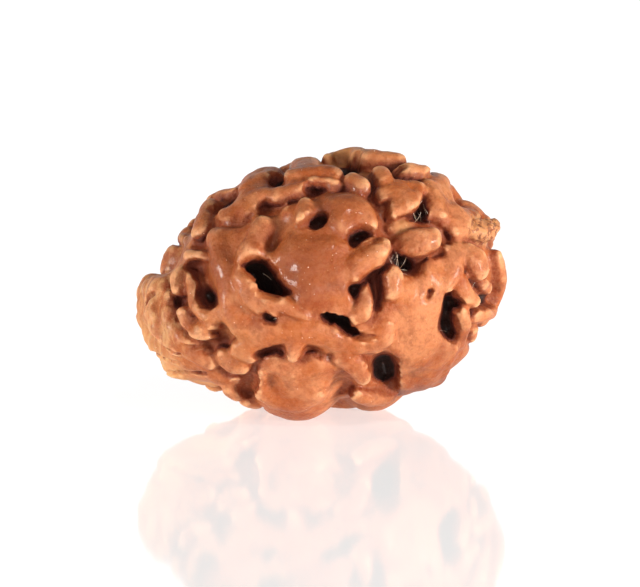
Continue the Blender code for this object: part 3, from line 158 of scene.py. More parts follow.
# Lobes: points along each lobe, as right, up, half width and height of the crest.
lobes = [
    # Long folds of the tip end cap
    [(-13.6, 0.2, 0.55, 0.85), (-14.0, -1.2, 0.85, 1.15), (-14.0, -2.6, 1.00, 1.25),
     (-13.3, -4.2, 0.90, 1.15), (-12.0, -5.3, 0.70, 1.05), (-10.4, -6.0, 0.50, 0.95)],
    [(-12.4, 0.0, 0.35, 0.80), (-12.9, -1.3, 0.50, 1.30), (-12.8, -2.6, 0.60, 1.50),
     (-12.2, -3.9, 0.60, 1.45), (-11.2, -4.9, 0.55, 1.30), (-9.8, -5.5, 0.50, 1.15),
     (-8.4, -6.1, 0.50, 0.95)],
    [(-11.5, -1.0, 0.35, 0.75), (-11.7, -2.1, 0.45, 1.10), (-11.4, -3.3, 0.50, 1.25),
     (-10.6, -4.3, 0.55, 1.20), (-9.5, -4.9, 0.45, 1.00)],
    [(-12.4, -5.8, 0.45, 0.85), (-11.2, -6.6, 0.55, 0.90), (-9.8, -7.0, 0.50, 0.60),
     (-8.4, -7.1, 0.42, 0.30), (-7.0, -7.4, 0.36, 0.25), (-6.2, -7.3, 0.28, 0.30)],
    # Left shoulder
    [(-8.5, 6.1, 0.55, 0.70), (-9.0, 5.0, 0.72, 0.75), (-9.3, 4.2, 0.70, 0.90)],
    [(-8.3, 6.6, 0.40, 0.60), (-7.4, 6.95, 0.45, 0.60), (-6.6, 7.2, 0.38, 0.60)],
    [(-10.9, 3.6, 0.45, 0.50), (-10.8, 2.6, 0.45, 0.50)],
    [(-10.2, 2.15, 0.42, 0.80), (-9.4, 2.1, 0.45, 0.70), (-8.8, 2.0, 0.45, 0.50)],
    [(-11.4, 1.1, 0.30, -0.10), (-11.5, 0.4, 0.30, 0.20)],
    [(-10.4, 1.3, 0.38, 0.70), (-10.85, 0.5, 0.45, 0.90), (-10.85, -0.4, 0.45, 1.00)],
    [(-9.7, 0.8, 0.40, 0.50), (-9.55, -0.6, 0.38, 0.60), (-9.45, -1.6, 0.46, 0.80),
     (-8.9, -2.3, 0.55, 1.00), (-8.1, -2.5, 0.50, 1.00), (-7.4, -2.3, 0.45, 0.90)],
    [(-10.5, -2.3, 0.38, 1.10), (-10.2, -3.0, 0.42, 1.25), (-9.5, -3.6, 0.45, 1.30),
     (-8.8, -3.8, 0.42, 1.25), (-8.3, -3.5, 0.35, 1.10)],
    # Rounded lobe at the lower left, and the strips under it
    [(-7.3, -5.6, 0.60, 0.70), (-6.9, -6.2, 0.70, 0.90), (-6.1, -6.3, 0.60, 0.80)],
    [(-7.0, -7.9, 0.45, 0.70), (-6.5, -8.6, 0.50, 0.75)],
    [(-5.6, -8.9, 0.40, 0.60), (-4.9, -9.2, 0.40, 0.60)],
    # Curl of the great plate, round the cavity
    [(-4.4, 4.6, 0.65, 1.10), (-5.0, 3.2, 0.75, 1.45), (-5.7, 1.5, 0.80, 1.55),
     (-5.9, 0.0, 0.80, 1.50), (-5.0, -1.2, 0.70, 1.45), (-3.6, -2.0, 0.55, 1.35)],
    [(-5.3, 0.1, 0.30, 1.50), (-4.4, -0.9, 0.32, 1.60), (-3.1, -1.6, 0.34, 1.60), (-2.0, -2.1, 0.30, 1.45),
     (-1.1, -2.5, 0.24, 1.20)],
    [(-7.7, 3.4, 0.80, 1.00), (-7.5, 1.7, 0.95, 1.10), (-7.0, -0.2, 0.90, 1.15),
     (-6.6, -2.0, 1.00, 1.10)],
    [(-6.0, -3.2, 1.00, 1.10), (-4.8, -3.7, 1.10, 1.15), (-3.0, -3.8, 0.85, 1.10),
     (-1.0, -3.6, 0.95, 1.20), (0.6, -4.2, 0.85, 1.25), (2.2, -4.6, 0.65, 1.10),
     (3.8, -4.4, 0.75, 1.35), (4.7, -4.1, 0.75, 1.40), (5.1, -3.3, 0.55, 1.20)],
    [(-6.4, -5.0, 0.60, 0.90), (-5.4, -5.4, 0.55, 0.90)],
    # Upper left plate
    [(-5.8, 7.2, 0.65, 0.75), (-5.0, 8.0, 0.80, 0.90), (-4.2, 8.4, 0.60, 0.90)],
    [(-5.7, 6.3, 0.60, 0.80), (-4.6, 6.7, 0.55, 0.85), (-2.5, 6.9, 0.55, 0.90), (-1.0, 7.3, 0.45, 0.85)],
    [(-2.1, 8.3, 0.55, 1.00), (-0.7, 8.5, 0.60, 1.05), (0.7, 8.5, 0.42, 1.10), (1.25, 8.2, 0.30, 1.05)],
    [(-0.6, 7.6, 0.35, 0.90), (0.5, 7.55, 0.35, 0.95), (1.2, 7.5, 0.28, 0.90)],
    # Top
    [(0.5, 9.6, 0.25, 0.75), (1.4, 10.0, 0.28, 0.90), (2.6, 10.2, 0.38, 1.15), (3.9, 9.8, 0.75, 1.25),
     (5.6, 9.4, 0.65, 1.15)],
    [(2.3, 7.95, 0.52, 1.10), (3.1, 7.6, 0.62, 1.25)],
    [(4.6, 8.5, 0.52, 1.15), (4.9, 7.9, 0.52, 1.20)],
    [(6.1, 8.45, 0.40, 1.00), (7.1, 8.6, 0.55, 1.20), (8.1, 8.5, 0.48, 1.15)],
    # Upper right
    [(5.6, 6.9, 0.80, 1.15), (6.4, 6.6, 0.85, 1.30), (6.7, 5.8, 0.60, 1.25)],
    [(7.7, 7.1, 0.36, 1.10), (7.2, 6.4, 0.34, 1.30), (7.05, 5.6, 0.30, 1.25)],
    [(8.4, 7.4, 0.70, 0.95), (8.9, 6.4, 0.75, 1.05), (9.2, 5.3, 0.50, 0.95)],
    [(10.0, 7.2, 0.50, 0.95), (10.6, 5.8, 0.60, 0.95), (11.0, 4.6, 0.50, 1.00)],
    [(5.3, 3.9, 0.50, 0.35), (6.2, 4.2, 0.50, 0.45), (6.9, 4.6, 0.32, 0.35)],
    # Middle
    [(-1.2, 5.9, 0.45, 1.10), (-1.3, 5.2, 0.50, 1.55), (-1.5, 4.55, 0.34, 1.60)],
    [(3.6, 1.9, 0.45, 1.50), (4.5, 2.5, 0.36, 1.70), (4.95, 2.95, 0.22, 1.65)],
    [(3.2, -0.2, 0.26, 1.10), (3.42, -1.3, 0.32, 1.35), (3.25, -2.2, 0.42, 1.35), (2.7, -2.6, 0.34, 1.20)],
    [(5.5, 0.5, 0.70, 1.35), (5.4, -0.4, 0.72, 1.35), (6.3, -0.6, 0.60, 1.05)],
    # Proud nub
    [(5.9, 2.85, 0.55, 0.45), (6.8, 2.95, 0.75, 0.95), (7.7, 3.25, 0.88, 1.40), (8.5, 3.45, 0.72, 1.50)],
    # Teeth at the bottom
    [(-2.0, -4.4, 0.60, 1.20), (-2.03, -5.0, 0.50, 1.35), (-2.05, -5.6, 0.30, 1.30)],
    [(1.9, -5.5, 0.80, 0.95), (2.7, -6.3, 0.75, 1.15), (3.35, -7.2, 0.45, 1.30)],
    [(2.5, -8.3, 0.30, 0.70), (3.3, -8.8, 0.55, 1.00), (4.5, -9.0, 0.60, 1.05), (5.4, -8.8, 0.40, 0.95)],
    # Lower lobe round its dimple
    [(-4.4, -6.8, 0.40, 0.75), (-4.5, -8.2, 0.55, 0.85), (-3.2, -9.1, 0.80, 1.00),
     (-1.8, -9.3, 0.85, 1.15), (-0.5, -8.4, 0.80, 0.95)],
    [(-1.6, -6.9, 1.00, 0.80), (0.0, -6.3, 0.85, 0.80)],
    # Right side
    [(9.6, 2.2, 0.60, 0.90), (10.2, 1.0, 0.70, 1.10), (9.6, 0.0, 0.60, 1.05)],
    [(10.1, -4.9, 0.35, 0.85), (9.7, -5.9, 0.38, 0.90), (9.0, -7.0, 0.38, 0.90), (8.3, -7.6, 0.32, 0.85)],
    [(11.3, 2.5, 0.52, 1.10), (11.9, 1.9, 0.80, 1.40), (12.1, 1.2, 0.70, 1.40)],
    [(13.5, 2.2, 0.32, 0.70), (13.85, 1.0, 0.42, 0.80), (13.8, -0.6, 0.42, 0.80), (13.5, -1.6, 0.36, 0.70)],
    [(10.6, 0.1, 0.50, 1.00), (11.2, -0.8, 0.52, 1.15), (11.7, -1.4, 0.34, 1.20)],
    [(11.6, -2.6, 0.36, 0.80), (12.5, -2.5, 0.42, 0.85), (13.2, -2.2, 0.36, 0.75)],
    [(10.7, -2.1, 0.42, 0.95), (10.95, -3.3, 0.42, 0.90), (10.7, -4.5, 0.45, 0.85)],
    [(11.5, -3.4, 0.35, 0.80), (11.6, -4.1, 0.32, 0.80)],
    [(12.1, 0.1, 0.42, 0.60), (12.8, -0.4, 0.42, 0.60)],
]

# The blunt stem end.
stemLobes = [
    [(11.9, 4.0, 0.70, 0.80), (12.8, 4.25, 0.68, 0.95), (13.45, 4.5, 0.34, 1.20)],
]

# Pits: points along each pit, as right, up, half width and level of the bottom.
pits = [
    [(-10.2, 3.8, 0.12, -0.5), (-10.1, 3.0, 0.14, -0.5)],
    [(-9.6, 3.0, 0.32, -1.5), (-9.0, 3.0, 0.34, -1.6)],
    [(-10.1, 1.35, 0.24, -0.8), (-9.4, 1.25, 0.40, -1.6), (-8.95, 0.6, 0.34, -1.4)],
    [(-10.25, 0.9, 0.06, 0.1), (-10.25, -0.6, 0.06, 0.1)],
    [(-8.8, -0.2, 0.30, -1.2), (-8.5, -0.9, 0.52, -2.0), (-8.0, -1.35, 0.44, -1.8)],
    [(-10.75, -1.4, 0.36, -1.4), (-10.35, -1.35, 0.28, -1.2)],
    [(-9.8, -4.4, 0.10, 0.4), (-8.9, -4.7, 0.16, 0.1), (-8.1, -4.2, 0.14, 0.1), (-7.8, -3.7, 0.14, 0.1)],
    [(-8.0, -3.6, 0.22, -0.2), (-7.5, -3.8, 0.32, -0.8), (-7.3, -4.5, 0.28, -1.5)],
    [(-3.2, 8.2, 0.26, -0.1), (-2.75, 9.0, 0.24, -0.1)],
    [(-4.1, 5.75, 0.46, -1.1), (-3.6, 5.75, 0.32, -0.8), (-2.9, 6.0, 0.14, 0.2), (-2.1, 6.15, 0.10, 0.2)],
    [(-0.7, 6.85, 0.36, -1.4), (0.0, 7.0, 0.22, -0.8), (0.6, 7.05, 0.10, 0.1)],
    [(5.5, 8.0, 0.22, -0.5), (6.0, 8.15, 0.12, -0.3)],
    [(7.8, 7.75, 0.08, 0.2), (8.3, 8.15, 0.12, -0.1)],
    [(-0.25, 4.35, 0.36, -1.5), (0.0, 4.6, 0.34, -1.5)],
    [(-2.1, 3.95, 0.08, 0.4), (-1.3, 3.95, 0.08, 0.2), (-0.8, 4.15, 0.14, -0.3)],
    [(-3.85, -2.4, 0.26, -0.8), (-3.35, -2.6, 0.18, -0.6)],
    # Hooded pit beside the beak
    [(2.35, 2.9, 0.26, -0.6), (2.55, 3.35, 0.38, -1.3), (3.1, 3.55, 0.30, -1.1), (3.6, 3.5, 0.12, -0.2)],
    # Crease under the beak, and the pit at its end
    [(4.7, 1.2, 0.16, -0.4), (3.9, 0.75, 0.22, -0.5), (3.2, 0.1, 0.12, -0.1), (2.9, -0.1, 0.12, -0.3)],
    [(2.5, -0.4, 0.34, -1.0), (2.5, -0.95, 0.18, -0.5)],
    [(4.15, 0.3, 0.36, -0.4), (4.2, -0.8, 0.34, -0.3), (4.2, -1.8, 0.28, 0.1)],
    # Valley right of the middle
    [(4.9, 5.8, 0.34, 0.1), (4.75, 4.8, 0.34, 0.0), (4.75, 3.8, 0.28, -0.1), (5.4, 3.2, 0.25, -0.2)],
    [(8.5, 1.9, 0.20, -0.2), (9.0, 2.15, 0.22, -0.3)],
    [(9.55, 3.5, 0.30, -1.0), (9.5, 3.2, 0.24, -0.9)],
    [(8.05, -0.5, 0.14, -0.3), (7.8, -1.05, 0.10, 0.1)],
    # Two joined pits in the lower middle
    [(2.5, -3.6, 0.24, -0.6), (3.4, -3.65, 0.12, 0.1), (3.9, -3.6, 0.06, 0.5)],
    [(3.4, -5.4, 0.14, 0.3), (3.3, -5.7, 0.10, 0.4)],
    # Dark grooves under the toothed edge
    [(-4.6, -5.3, 0.26, -0.9), (-3.9, -5.15, 0.26, -0.8), (-3.2, -5.0, 0.26, -0.3), (-2.8, -5.3, 0.20, -0.1)],
    [(-1.1, -5.25, 0.18, -0.1), (-0.5, -5.15, 0.18, -0.1), (0.0, -5.55, 0.12, 0.1)],
    # Bottom
    [(-5.1, -6.5, 0.18, -1.2), (-5.3, -7.5, 0.30, -2.2), (-5.5, -8.5, 0.34, -2.0)],
    # Right end
    [(-13.1, 0.0, 0.12, 0.10), (-13.45, -1.5, 0.15, 0.35), (-13.4, -2.9, 0.15, 0.45),
     (-12.8, -4.3, 0.15, 0.40), (-11.6, -5.3, 0.15, 0.30), (-10.2, -5.8, 0.12, 0.40)],
    [(-12.1, -0.9, 0.12, 0.00), (-12.3, -2.1, 0.15, 0.30), (-12.1, -3.3, 0.15, 0.40),
     (-11.3, -4.3, 0.15, 0.35), (-10.0, -5.1, 0.12, 0.40)],
    [(-12.6, -5.4, 0.12, 0.20), (-11.4, -6.2, 0.15, 0.05), (-10.0, -6.5, 0.15, 0.00),
     (-8.6, -6.6, 0.12, 0.00)],
    [(11.3, 3.2, 0.12, 0.0), (12.1, 2.95, 0.22, -0.7), (12.8, 2.4, 0.22, -0.7), (13.05, 1.5, 0.16, -0.4),
     (12.9, 0.5, 0.14, -0.3)],
    [(11.05, -4.3, 0.08, 0.2), (11.0, -4.6, 0.08, 0.2)],
]

# Hollows: level of the bottom, slope of the walls, how far the bottom leans right and up,
# and the outline (right, up).
hollows = [
    # Great cavity, undercut at its left and below
    (-3.4, 9.0, (-0.22, -0.08), [(-5.6, 1.15), (-5.0, 1.7), (-4.3, 1.9), (-3.65, 1.75), (-3.2, 1.05),
                                 (-2.85, 0.4), (-2.35, -0.3), (-1.9, -0.95), (-2.7, -1.2), (-3.6, -1.05),
                                 (-4.3, -0.6), (-5.0, 0.2)]),
    # Pit between the beak and the proud nub
    (-2.8, 11.0, (0.0, 0.0), [(5.2, 2.2), (5.7, 2.4), (6.4, 2.15), (7.0, 1.5), (6.7, 0.85), (6.1, 0.85),
                             (5.5, 1.3)]),
    # Two joined pits under the middle
    (-2.6, 10.0, (0.0, 0.15), [(-0.35, -2.4), (0.4, -2.05), (1.3, -2.2), (2.1, -2.35), (2.5, -2.9),
                              (2.9, -3.5), (2.4, -3.95), (1.6, -3.75), (1.1, -3.3), (0.3, -2.95)]),
    # Two joined pits at the right
    (-3.4, 12.0, (0.0, 0.0), [(9.1, -0.6), (9.8, -0.5), (10.45, -1.1), (10.3, -1.8), (10.0, -2.2),
                              (10.2, -2.9), (10.2, -3.9), (10.0, -4.5), (9.4, -4.3), (8.9, -3.6),
                              (9.0, -2.7), (9.25, -2.1), (9.15, -1.4)]),
    # Pocket at the right end
    (-1.6, 8.0, (0.0, 0.0), [(11.8, -1.4), (12.3, -0.8), (13.1, -0.8), (13.35, -1.35), (12.8, -1.75),
                             (12.1, -1.8)]),
    # Wide pit at the bottom right
    (-4.8, 10.0, (0.0, 0.0), [(4.0, -5.6), (4.7, -5.2), (5.6, -5.35), (5.95, -6.3), (6.05, -7.2),
                              (5.9, -8.0), (5.2, -8.1), (4.5, -7.9), (3.9, -7.3), (3.7, -6.5)]),
    # Pocket left of it
    (-1.9, 9.0, (0.0, 0.0), [(0.7, -8.8), (1.0, -7.8), (1.6, -7.1), (2.3, -7.4), (2.6, -8.1), (2.2, -8.6),
                             (1.5, -8.8)]),
    # Pit of the upper left plate, and the groove left of the plate
    (-3.2, 12.0, (0.0, 0.0), [(-4.1, 7.5), (-3.5, 7.2), (-2.9, 7.4), (-2.6, 8.0), (-2.9, 8.6), (-3.3, 8.4),
                              (-3.9, 8.1)]),
    (-2.0, 9.0, (0.0, 0.0), [(-8.5, 5.4), (-8.0, 5.2), (-7.5, 5.6), (-6.9, 6.1), (-6.4, 6.6), (-6.2, 7.1),
                             (-6.7, 7.1), (-7.4, 6.7), (-8.1, 6.1)]),
    # Pit under the top lobe
    (-3.2, 12.0, (0.0, 0.0), [(1.0, 8.9), (1.5, 8.3), (2.4, 8.4), (3.2, 9.0), (2.8, 9.4), (1.6, 9.45)]),
    # Three-cornered pit with fibres
    (-3.2, 12.0, (0.0, 0.0), [(7.1, 5.6), (7.5, 6.3), (7.9, 5.7), (8.1, 5.0), (7.6, 4.6), (6.6, 4.6),
                              (5.6, 4.75), (6.4, 5.0)]),
]

# Soft swells and hollows: right, up, radius, and how far the surface rises there.
swells = [
    (-6.2, 5.0, 0.6, -0.40), (-2.9, 4.4, 0.8, -0.70), (-3.6, 3.0, 0.9, -0.85), (-3.6, -7.4, 0.85, -0.80),
    (-9.4, -2.9, 0.55, -0.75), (6.8, -6.8, 0.9, -0.40), (8.7, 1.5, 0.7, -0.35), (12.6, 6.4, 1.2, -0.80),
    (-12.4, 3.2, 1.4, -0.90), (3.0, 2.25, 0.4, -0.35), (6.8, -2.2, 1.6, 0.20), (-8.0, -4.5, 0.7, -0.30),
    (7.9, -4.2, 1.3, 0.15), (-6.9, -6.3, 0.5, -0.20), (12.6, -0.5, 0.5, -0.10), (-9.8, -7.8, 1.1, -0.60),
    (-2.4, 0.9, 0.7, -0.40),
]

# The same, but round the whole limb of the front view, so that its outline is right.
outlineSwells = [
    (10.9, 6.6, 1.3, -1.00), (-12.4, 1.9, 1.1, -1.00), (-9.5, -8.0, 1.2, -0.60), (-12.6, 4.6, 0.9, -0.30),
    (-8.0, 8.8, 0.9, -0.30), (9.6, -8.2, 1.1, 0.35), (-14.0, -0.2, 0.8, 0.30), (7.4, 9.8, 1.1, 0.45),
    (-11.7, -6.7, 0.9, 0.45), (5.2, 9.6, 1.0, 0.30),
    (-11.4, 2.4, 0.9, -1.40), (-8.3, -7.9, 0.6, -0.35), (-6.0, -9.6, 0.8, 0.35), (-10.2, 6.2, 0.8, 0.30),
]


def smoothMax(a, b, width):
    # The higher of two heights, with the seam rounded over the given width.
    mix = np.clip(0.5 + 0.5 * (a - b) / width, 0.0, 1.0)
    return b + (a - b) * mix + width * mix * (1.0 - mix)


def smoothMin(a, b, width):
    return -smoothMax(-a, -b, width)


def smoothStep(low, high, x):
    t = np.clip((x - low) / (high - low), 0.0, 1.0)
    return t * t * (3.0 - 2.0 * t)


def domeProfile(inside, width, drop, slope):
    # Height below the crest, from the distance inside the edge: round shoulder, steep skirt.
    t = np.clip(1.0 - inside / width, 0.0, 1.0)
    shoulder = drop * (1.0 - np.sqrt(np.maximum(0.0, 1.0 - t ** 2.4)))
    return np.where(inside > 0.0, shoulder, drop - slope * inside)


def shoulderDrop(width, shoulder):
    return np.minimum(shoulder[0] * width, shoulder[1])


def frontToBead(points):
    # Turns (right, up) of the front view into the ellipsoid's own two axes.
    angle = math.radians(stoneForm["beadTilt"])
    right = points[:, 0] - stoneForm["centreRight"]
    up = points[:, 1] - stoneForm["centreUp"]
    along = right * math.cos(angle) + up * math.sin(angle)
    across = -right * math.sin(angle) + up * math.cos(angle)
    return np.stack([along, across], 1)


def liftToSurface(points, level):
    # The point of the plain ellipsoid that lies under a front-view point at the given height.
    flat = frontToBead(points) / (halfSizes[:2] + level)
    reach = np.maximum(np.linalg.norm(flat, axis=1), 1.0)
    flat = flat / reach[:, None]
    front = np.sqrt(np.maximum(0.0, 1.0 - (flat ** 2).sum(1)))
    return np.stack([flat[:, 0], flat[:, 1], front], 1) * halfSizes


def roundedPath(points, closed, steps):
    # A smooth curve through the points (Catmull-Rom), also for their widths.
    points = np.array(points, float)
    if len(points) < 3:
        return points
    if closed:
        padded = np.concatenate([points[-1:], points, points[:2]])
    else:
        padded = np.concatenate([points[:1], points, points[-1:]])
    out = []
    for k in range(1, len(padded) - 2):
        p0, p1, p2, p3 = padded[k - 1:k + 3]
        for step in range(steps):
            t = step / steps
            out.append(0.5 * (2.0 * p1 + (p2 - p0) * t + (2.0 * p0 - 5.0 * p1 + 4.0 * p2 - p3) * t * t
                              + (3.0 * p1 - p0 - 3.0 * p2 + p3) * t ** 3))
    if not closed:
        out.append(padded[-2])
    return np.array(out)


def insideOfPath(surface, path, widths, levels):
    # Distance inside the edge of a tapered tube along the path, with its half width and level there.
    best = np.full(len(surface), -1e9)
    width = np.ones(len(surface))
    level = np.zeros(len(surface))
    last = len(path) - 1
    for k in range(max(last, 1)):
        m = min(k + 1, last)
        step = path[m] - path[k]
        t = np.clip(((surface - path[k]) @ step) / max(step @ step, 1e-9), 0.0, 1.0)
        here = widths[k] + (widths[m] - widths[k]) * t
        inside = here - np.linalg.norm(surface - (path[k] + t[:, None] * step), axis=1)
        better = inside > best
        best = np.where(better, inside, best)
        width = np.where(better, here, width)
        level = np.where(better, levels[k] + (levels[m] - levels[k]) * t, level)
    return best, width, level


def insideOfOutline(surface, outline, level):
    # Signed distance inside a closed outline of the front view, for the points near it.
    smooth = roundedPath(outline, True, 4)
    path = liftToSurface(smooth, level)
    front = frontOf(surface, level)
    reach = stoneForm["outlineReach"]
    near = np.all((front > smooth.min(0) - reach) & (front < smooth.max(0) + reach), axis=1)
    surface = surface[near]
    front = front[near]
    edge = np.full(len(surface), 1e9)
    for a, b in zip(path, np.roll(path, -1, axis=0)):
        step = b - a
        t = np.clip(((surface - a) @ step) / max(step @ step, 1e-9), 0.0, 1.0)
        edge = np.minimum(edge, np.linalg.norm(surface - (a + t[:, None] * step), axis=1))
    crossings = np.zeros(len(surface), bool)
    for a, b in zip(smooth, np.roll(smooth, -1, axis=0)):
        spans = (a[1] > front[:, 1]) != (b[1] > front[:, 1])
        rise = b[1] - a[1] if abs(b[1] - a[1]) > 1e-9 else 1e-9
        crossings ^= spans & (front[:, 0] < a[0] + (front[:, 1] - a[1]) * (b[0] - a[0]) / rise)
    return near, np.where(crossings, edge, -edge)


def applyTube(height, surface, points, carve):
    # Raises a lobe along the points, or sinks a pit.
    smooth = roundedPath(points, False, 3)
    place = np.full(len(smooth), stoneForm["usualCrest"]) if carve else smooth[:, 3]
    path = liftToSurface(smooth[:, :2], place[:, None])
    reach = smooth[:, 2].max() + stoneForm["tubeReach"]
    near = np.all((surface > path.min(0) - reach) & (surface < path.max(0) + reach), axis=1)
    if not near.any():
        return
    inside, width, level = insideOfPath(surface[near], path, smooth[:, 2], smooth[:, 3])
    if carve:
        shoulder = shoulderDrop(width, stoneForm["pitShoulder"])
        cut = level + domeProfile(inside, width, shoulder, stoneForm["pitSlope"])
        height[near] = smoothMin(height[near], cut, stoneForm["pitRounding"])
    else:
        shoulder = shoulderDrop(width, stoneForm["lobeShoulder"])
        crest = level - domeProfile(inside, width, shoulder, stoneForm["skirtSlope"])
        height[near] = smoothMax(height[near], crest, stoneForm["blendWidth"])


def wandered(surface):
    # The places at which the lists are read, on the front or mirrored behind it.
    for scale, amount in stoneForm["outlineWander"]:
        surface = wander(surface, scale, amount)
    surface[:, 2] = np.abs(surface[:, 2])
    return surface


def listedRelief(surface, withStem):
    # Height over the ellipsoid, from the listed plates, lobes and pits of the front view.
    surface = wandered(surface)
    height = np.full(len(surface), stoneForm["floorLevel"])
    for level, edge, outline in plates:
        near, inside = insideOfOutline(surface, outline, level)
        crest = level - domeProfile(inside, edge, stoneForm["plateDrop"], stoneForm["skirtSlope"])
        height[near] = smoothMax(height[near], crest, stoneForm["blendWidth"])
    for points in lobes + (stemLobes if withStem else []):
        applyTube(height, surface, points, False)
    for right, up, radius, rise in swells:
        place = liftToSurface(np.array([[right, up]]), stoneForm["usualCrest"])[0]
        away = ((surface - place) ** 2).sum(1) / radius ** 2
        height += rise * np.exp(-away)
    for bottom, slope, _, outline in hollows:
        near, inside = insideOfOutline(surface, outline, stoneForm["usualCrest"])
        steepness = np.where(inside > 0.0, slope, stoneForm["hollowFlare"])
        cut = np.maximum(bottom, stoneForm["hollowRim"] - steepness * inside)
        height[near] = smoothMin(height[near], cut, stoneForm["pitRounding"])
    for points in pits:
        applyTube(height, surface, points, True)
    return height


def leanOf(directions, height):
    # Sideways shift that makes the front's pits run straight back, and hollows lean further.
    shift = np.zeros_like(directions)
    facing = smoothStep(*stoneForm["straightFrom"], directions[:, 2])
    depth = np.maximum(0.0, stoneForm["straightBelow"] - height) * facing
    shift[:, :2] = directions[:, :2] * depth[:, None]
    front = directions[:, 2] > stoneForm["straightFrom"][0]
    surface = wandered(directions[front] * halfSizes)
    extra = np.zeros((len(surface), 2))
    angle = math.radians(stoneForm["beadTilt"])
    for bottom, slope, (right, up), outline in hollows:
        near, inside = insideOfOutline(surface, outline, stoneForm["usualCrest"])
        along = right * math.cos(angle) + up * math.sin(angle)
        across = -right * math.sin(angle) + up * math.cos(angle)
        sunk = np.clip(slope * inside, 0.0, stoneForm["hollowRim"] - bottom)
        extra[near] += sunk[:, None] * np.array([along, across])
    shift[front, :2] += extra * facing[front, None]
    return shift


def turnedRelief(directions, turn, flipAlong, flipAcross, seedShift):
    # The listed relief again, turned about the bead's long axis and warped into another pattern.
    angle = math.radians(turn)
    across = directions[:, 1] * math.cos(angle) - directions[:, 2] * math.sin(angle)
    front = directions[:, 1] * math.sin(angle) + directions[:, 2] * math.cos(angle)
    along = directions[:, 0] * (-1.0 if flipAlong else 1.0)
    turned = np.stack([along, across * (-1.0 if flipAcross else 1.0), front], 1)
    bent = wander(turned * halfSizes + seedShift, *stoneForm["hiddenWarp"]) - seedShift
    bent /= np.linalg.norm(bent / halfSizes, axis=1)[:, None]
    return listedRelief(bent, False)


def frontOf(surface, level):
    # Where points of the plain ellipsoid are seen in the front view, once raised to the level.
    bead = surface[:, :2] * (1.0 + level / halfSizes[:2])
    angle = math.radians(stoneForm["beadTilt"])
    right = bead[:, 0] * math.cos(angle) - bead[:, 1] * math.sin(angle) + stoneForm["centreRight"]
    up = bead[:, 0] * math.sin(angle) + bead[:, 1] * math.cos(angle) + stoneForm["centreUp"]
    return np.stack([right, up], 1)


def wander(points, scale, amount):
    # A small steady shift of each point, so that no edge runs quite true.
    shift = [noise.noise_vector(Vector(p) * scale) for p in points]
    return points + amount * np.array(shift)


def seamHeight(directions):
    # The single natural groove, from the stem end to the tip along the hidden side.
    along = directions[:, 0]
    drift = sum(size * np.sin(often * along + start) for size, often, start in stoneForm["seamBends"])
    around = np.arctan2(directions[:, 1], -directions[:, 2])
    away = np.abs(around - drift) * np.hypot(directions[:, 1], directions[:, 2]) * stoneForm["halfHeight"]
    onBack = smoothStep(*stoneForm["seamZone"], -directions[:, 2])
    width = stoneForm["seamWidth"]
    groove = -stoneForm["seamDepth"] * np.exp(-(away / width) ** 2)
    beside = (away - 2.6 * width) / (1.6 * width)
    lips = stoneForm["seamLip"] * stoneForm["seamDepth"] * np.exp(-beside ** 2)
    return (groove + lips) * onBack


def reliefOf(directions):
    # Height over the ellipsoid in each direction from its centre.
    back = directions[:, 2] < stoneForm["hiddenFrom"][1]
    hidden = np.zeros(len(directions))
    behind = directions[back]
    upper = turnedRelief(behind, stoneForm["hiddenTurn"], True, False, np.array([31.0, 0.0, 0.0]))
    lower = turnedRelief(behind, -stoneForm["hiddenTurn"], False, True, np.array([0.0, 47.0, 0.0]))
    share = smoothStep(-stoneForm["hiddenShare"], stoneForm["hiddenShare"], behind[:, 1])
    hidden[back] = upper * share + lower * (1.0 - share) + seamHeight(behind)
    weight = smoothStep(*stoneForm["hiddenFrom"], directions[:, 2])
    shown = np.zeros(len(directions))
    seen = directions[:, 2] > stoneForm["hiddenFrom"][0]
    shown[seen] = listedRelief(directions[seen] * halfSizes, True)
    surface = directions * halfSizes
    coarse, fine = stoneForm["rippleScales"]
    ripple = np.array([noise.noise(Vector(p) * coarse)
                       + stoneForm["finerRipple"] * noise.noise(Vector(p) * fine) for p in surface])
    height = shown * weight + hidden * (1.0 - weight) + stoneForm["rippleHeight"] * ripple
    for right, up, radius, rise in outlineSwells:
        place = liftToSurface(np.array([[right, up]]), stoneForm["usualCrest"])[0]
        away = (((surface - place) * np.array([1.0, 1.0, stoneForm["limbDepth"]])) ** 2).sum(1) / radius ** 2
        height += rise * np.exp(-away)
    return height


def spherePoints(steps):
    sphere = bmesh.new()
    bmesh.ops.create_icosphere(sphere, subdivisions=steps, radius=1.0)
    mesh = bpy.data.meshes.new("bead_start")
    sphere.to_mesh(mesh)
    sphere.free()
    directions = np.empty(len(mesh.vertices) * 3)
    mesh.vertices.foreach_get("co", directions)
    return mesh, directions.reshape(-1, 3)


def setPoints(mesh, points):
    mesh.vertices.foreach_set("co", points.ravel())
    mesh.update()


def normalsOf(mesh):
    normals = np.empty(len(mesh.vertices) * 3, np.float32)
    mesh.vertex_normals.foreach_get("vector", normals)
    return normals.reshape(-1, 3).astype(float)


def evenedOut(mesh, points, share, passes):
    # Draws each point toward the mean of its neighbours, by its own share.
    ends = np.empty(len(mesh.edges) * 2, np.int32)
    mesh.edges.foreach_get("vertices", ends)
    a, b = ends[0::2], ends[1::2]
    count = np.bincount(ends, minlength=len(points))
    for _ in range(passes):
        mean = np.empty_like(points)
        for k in range(3):
            mean[:, k] = np.bincount(a, points[b, k], len(points)) + np.bincount(b, points[a, k], len(points))
        points = points + (mean / count[:, None] - points) * share[:, None]
    return points


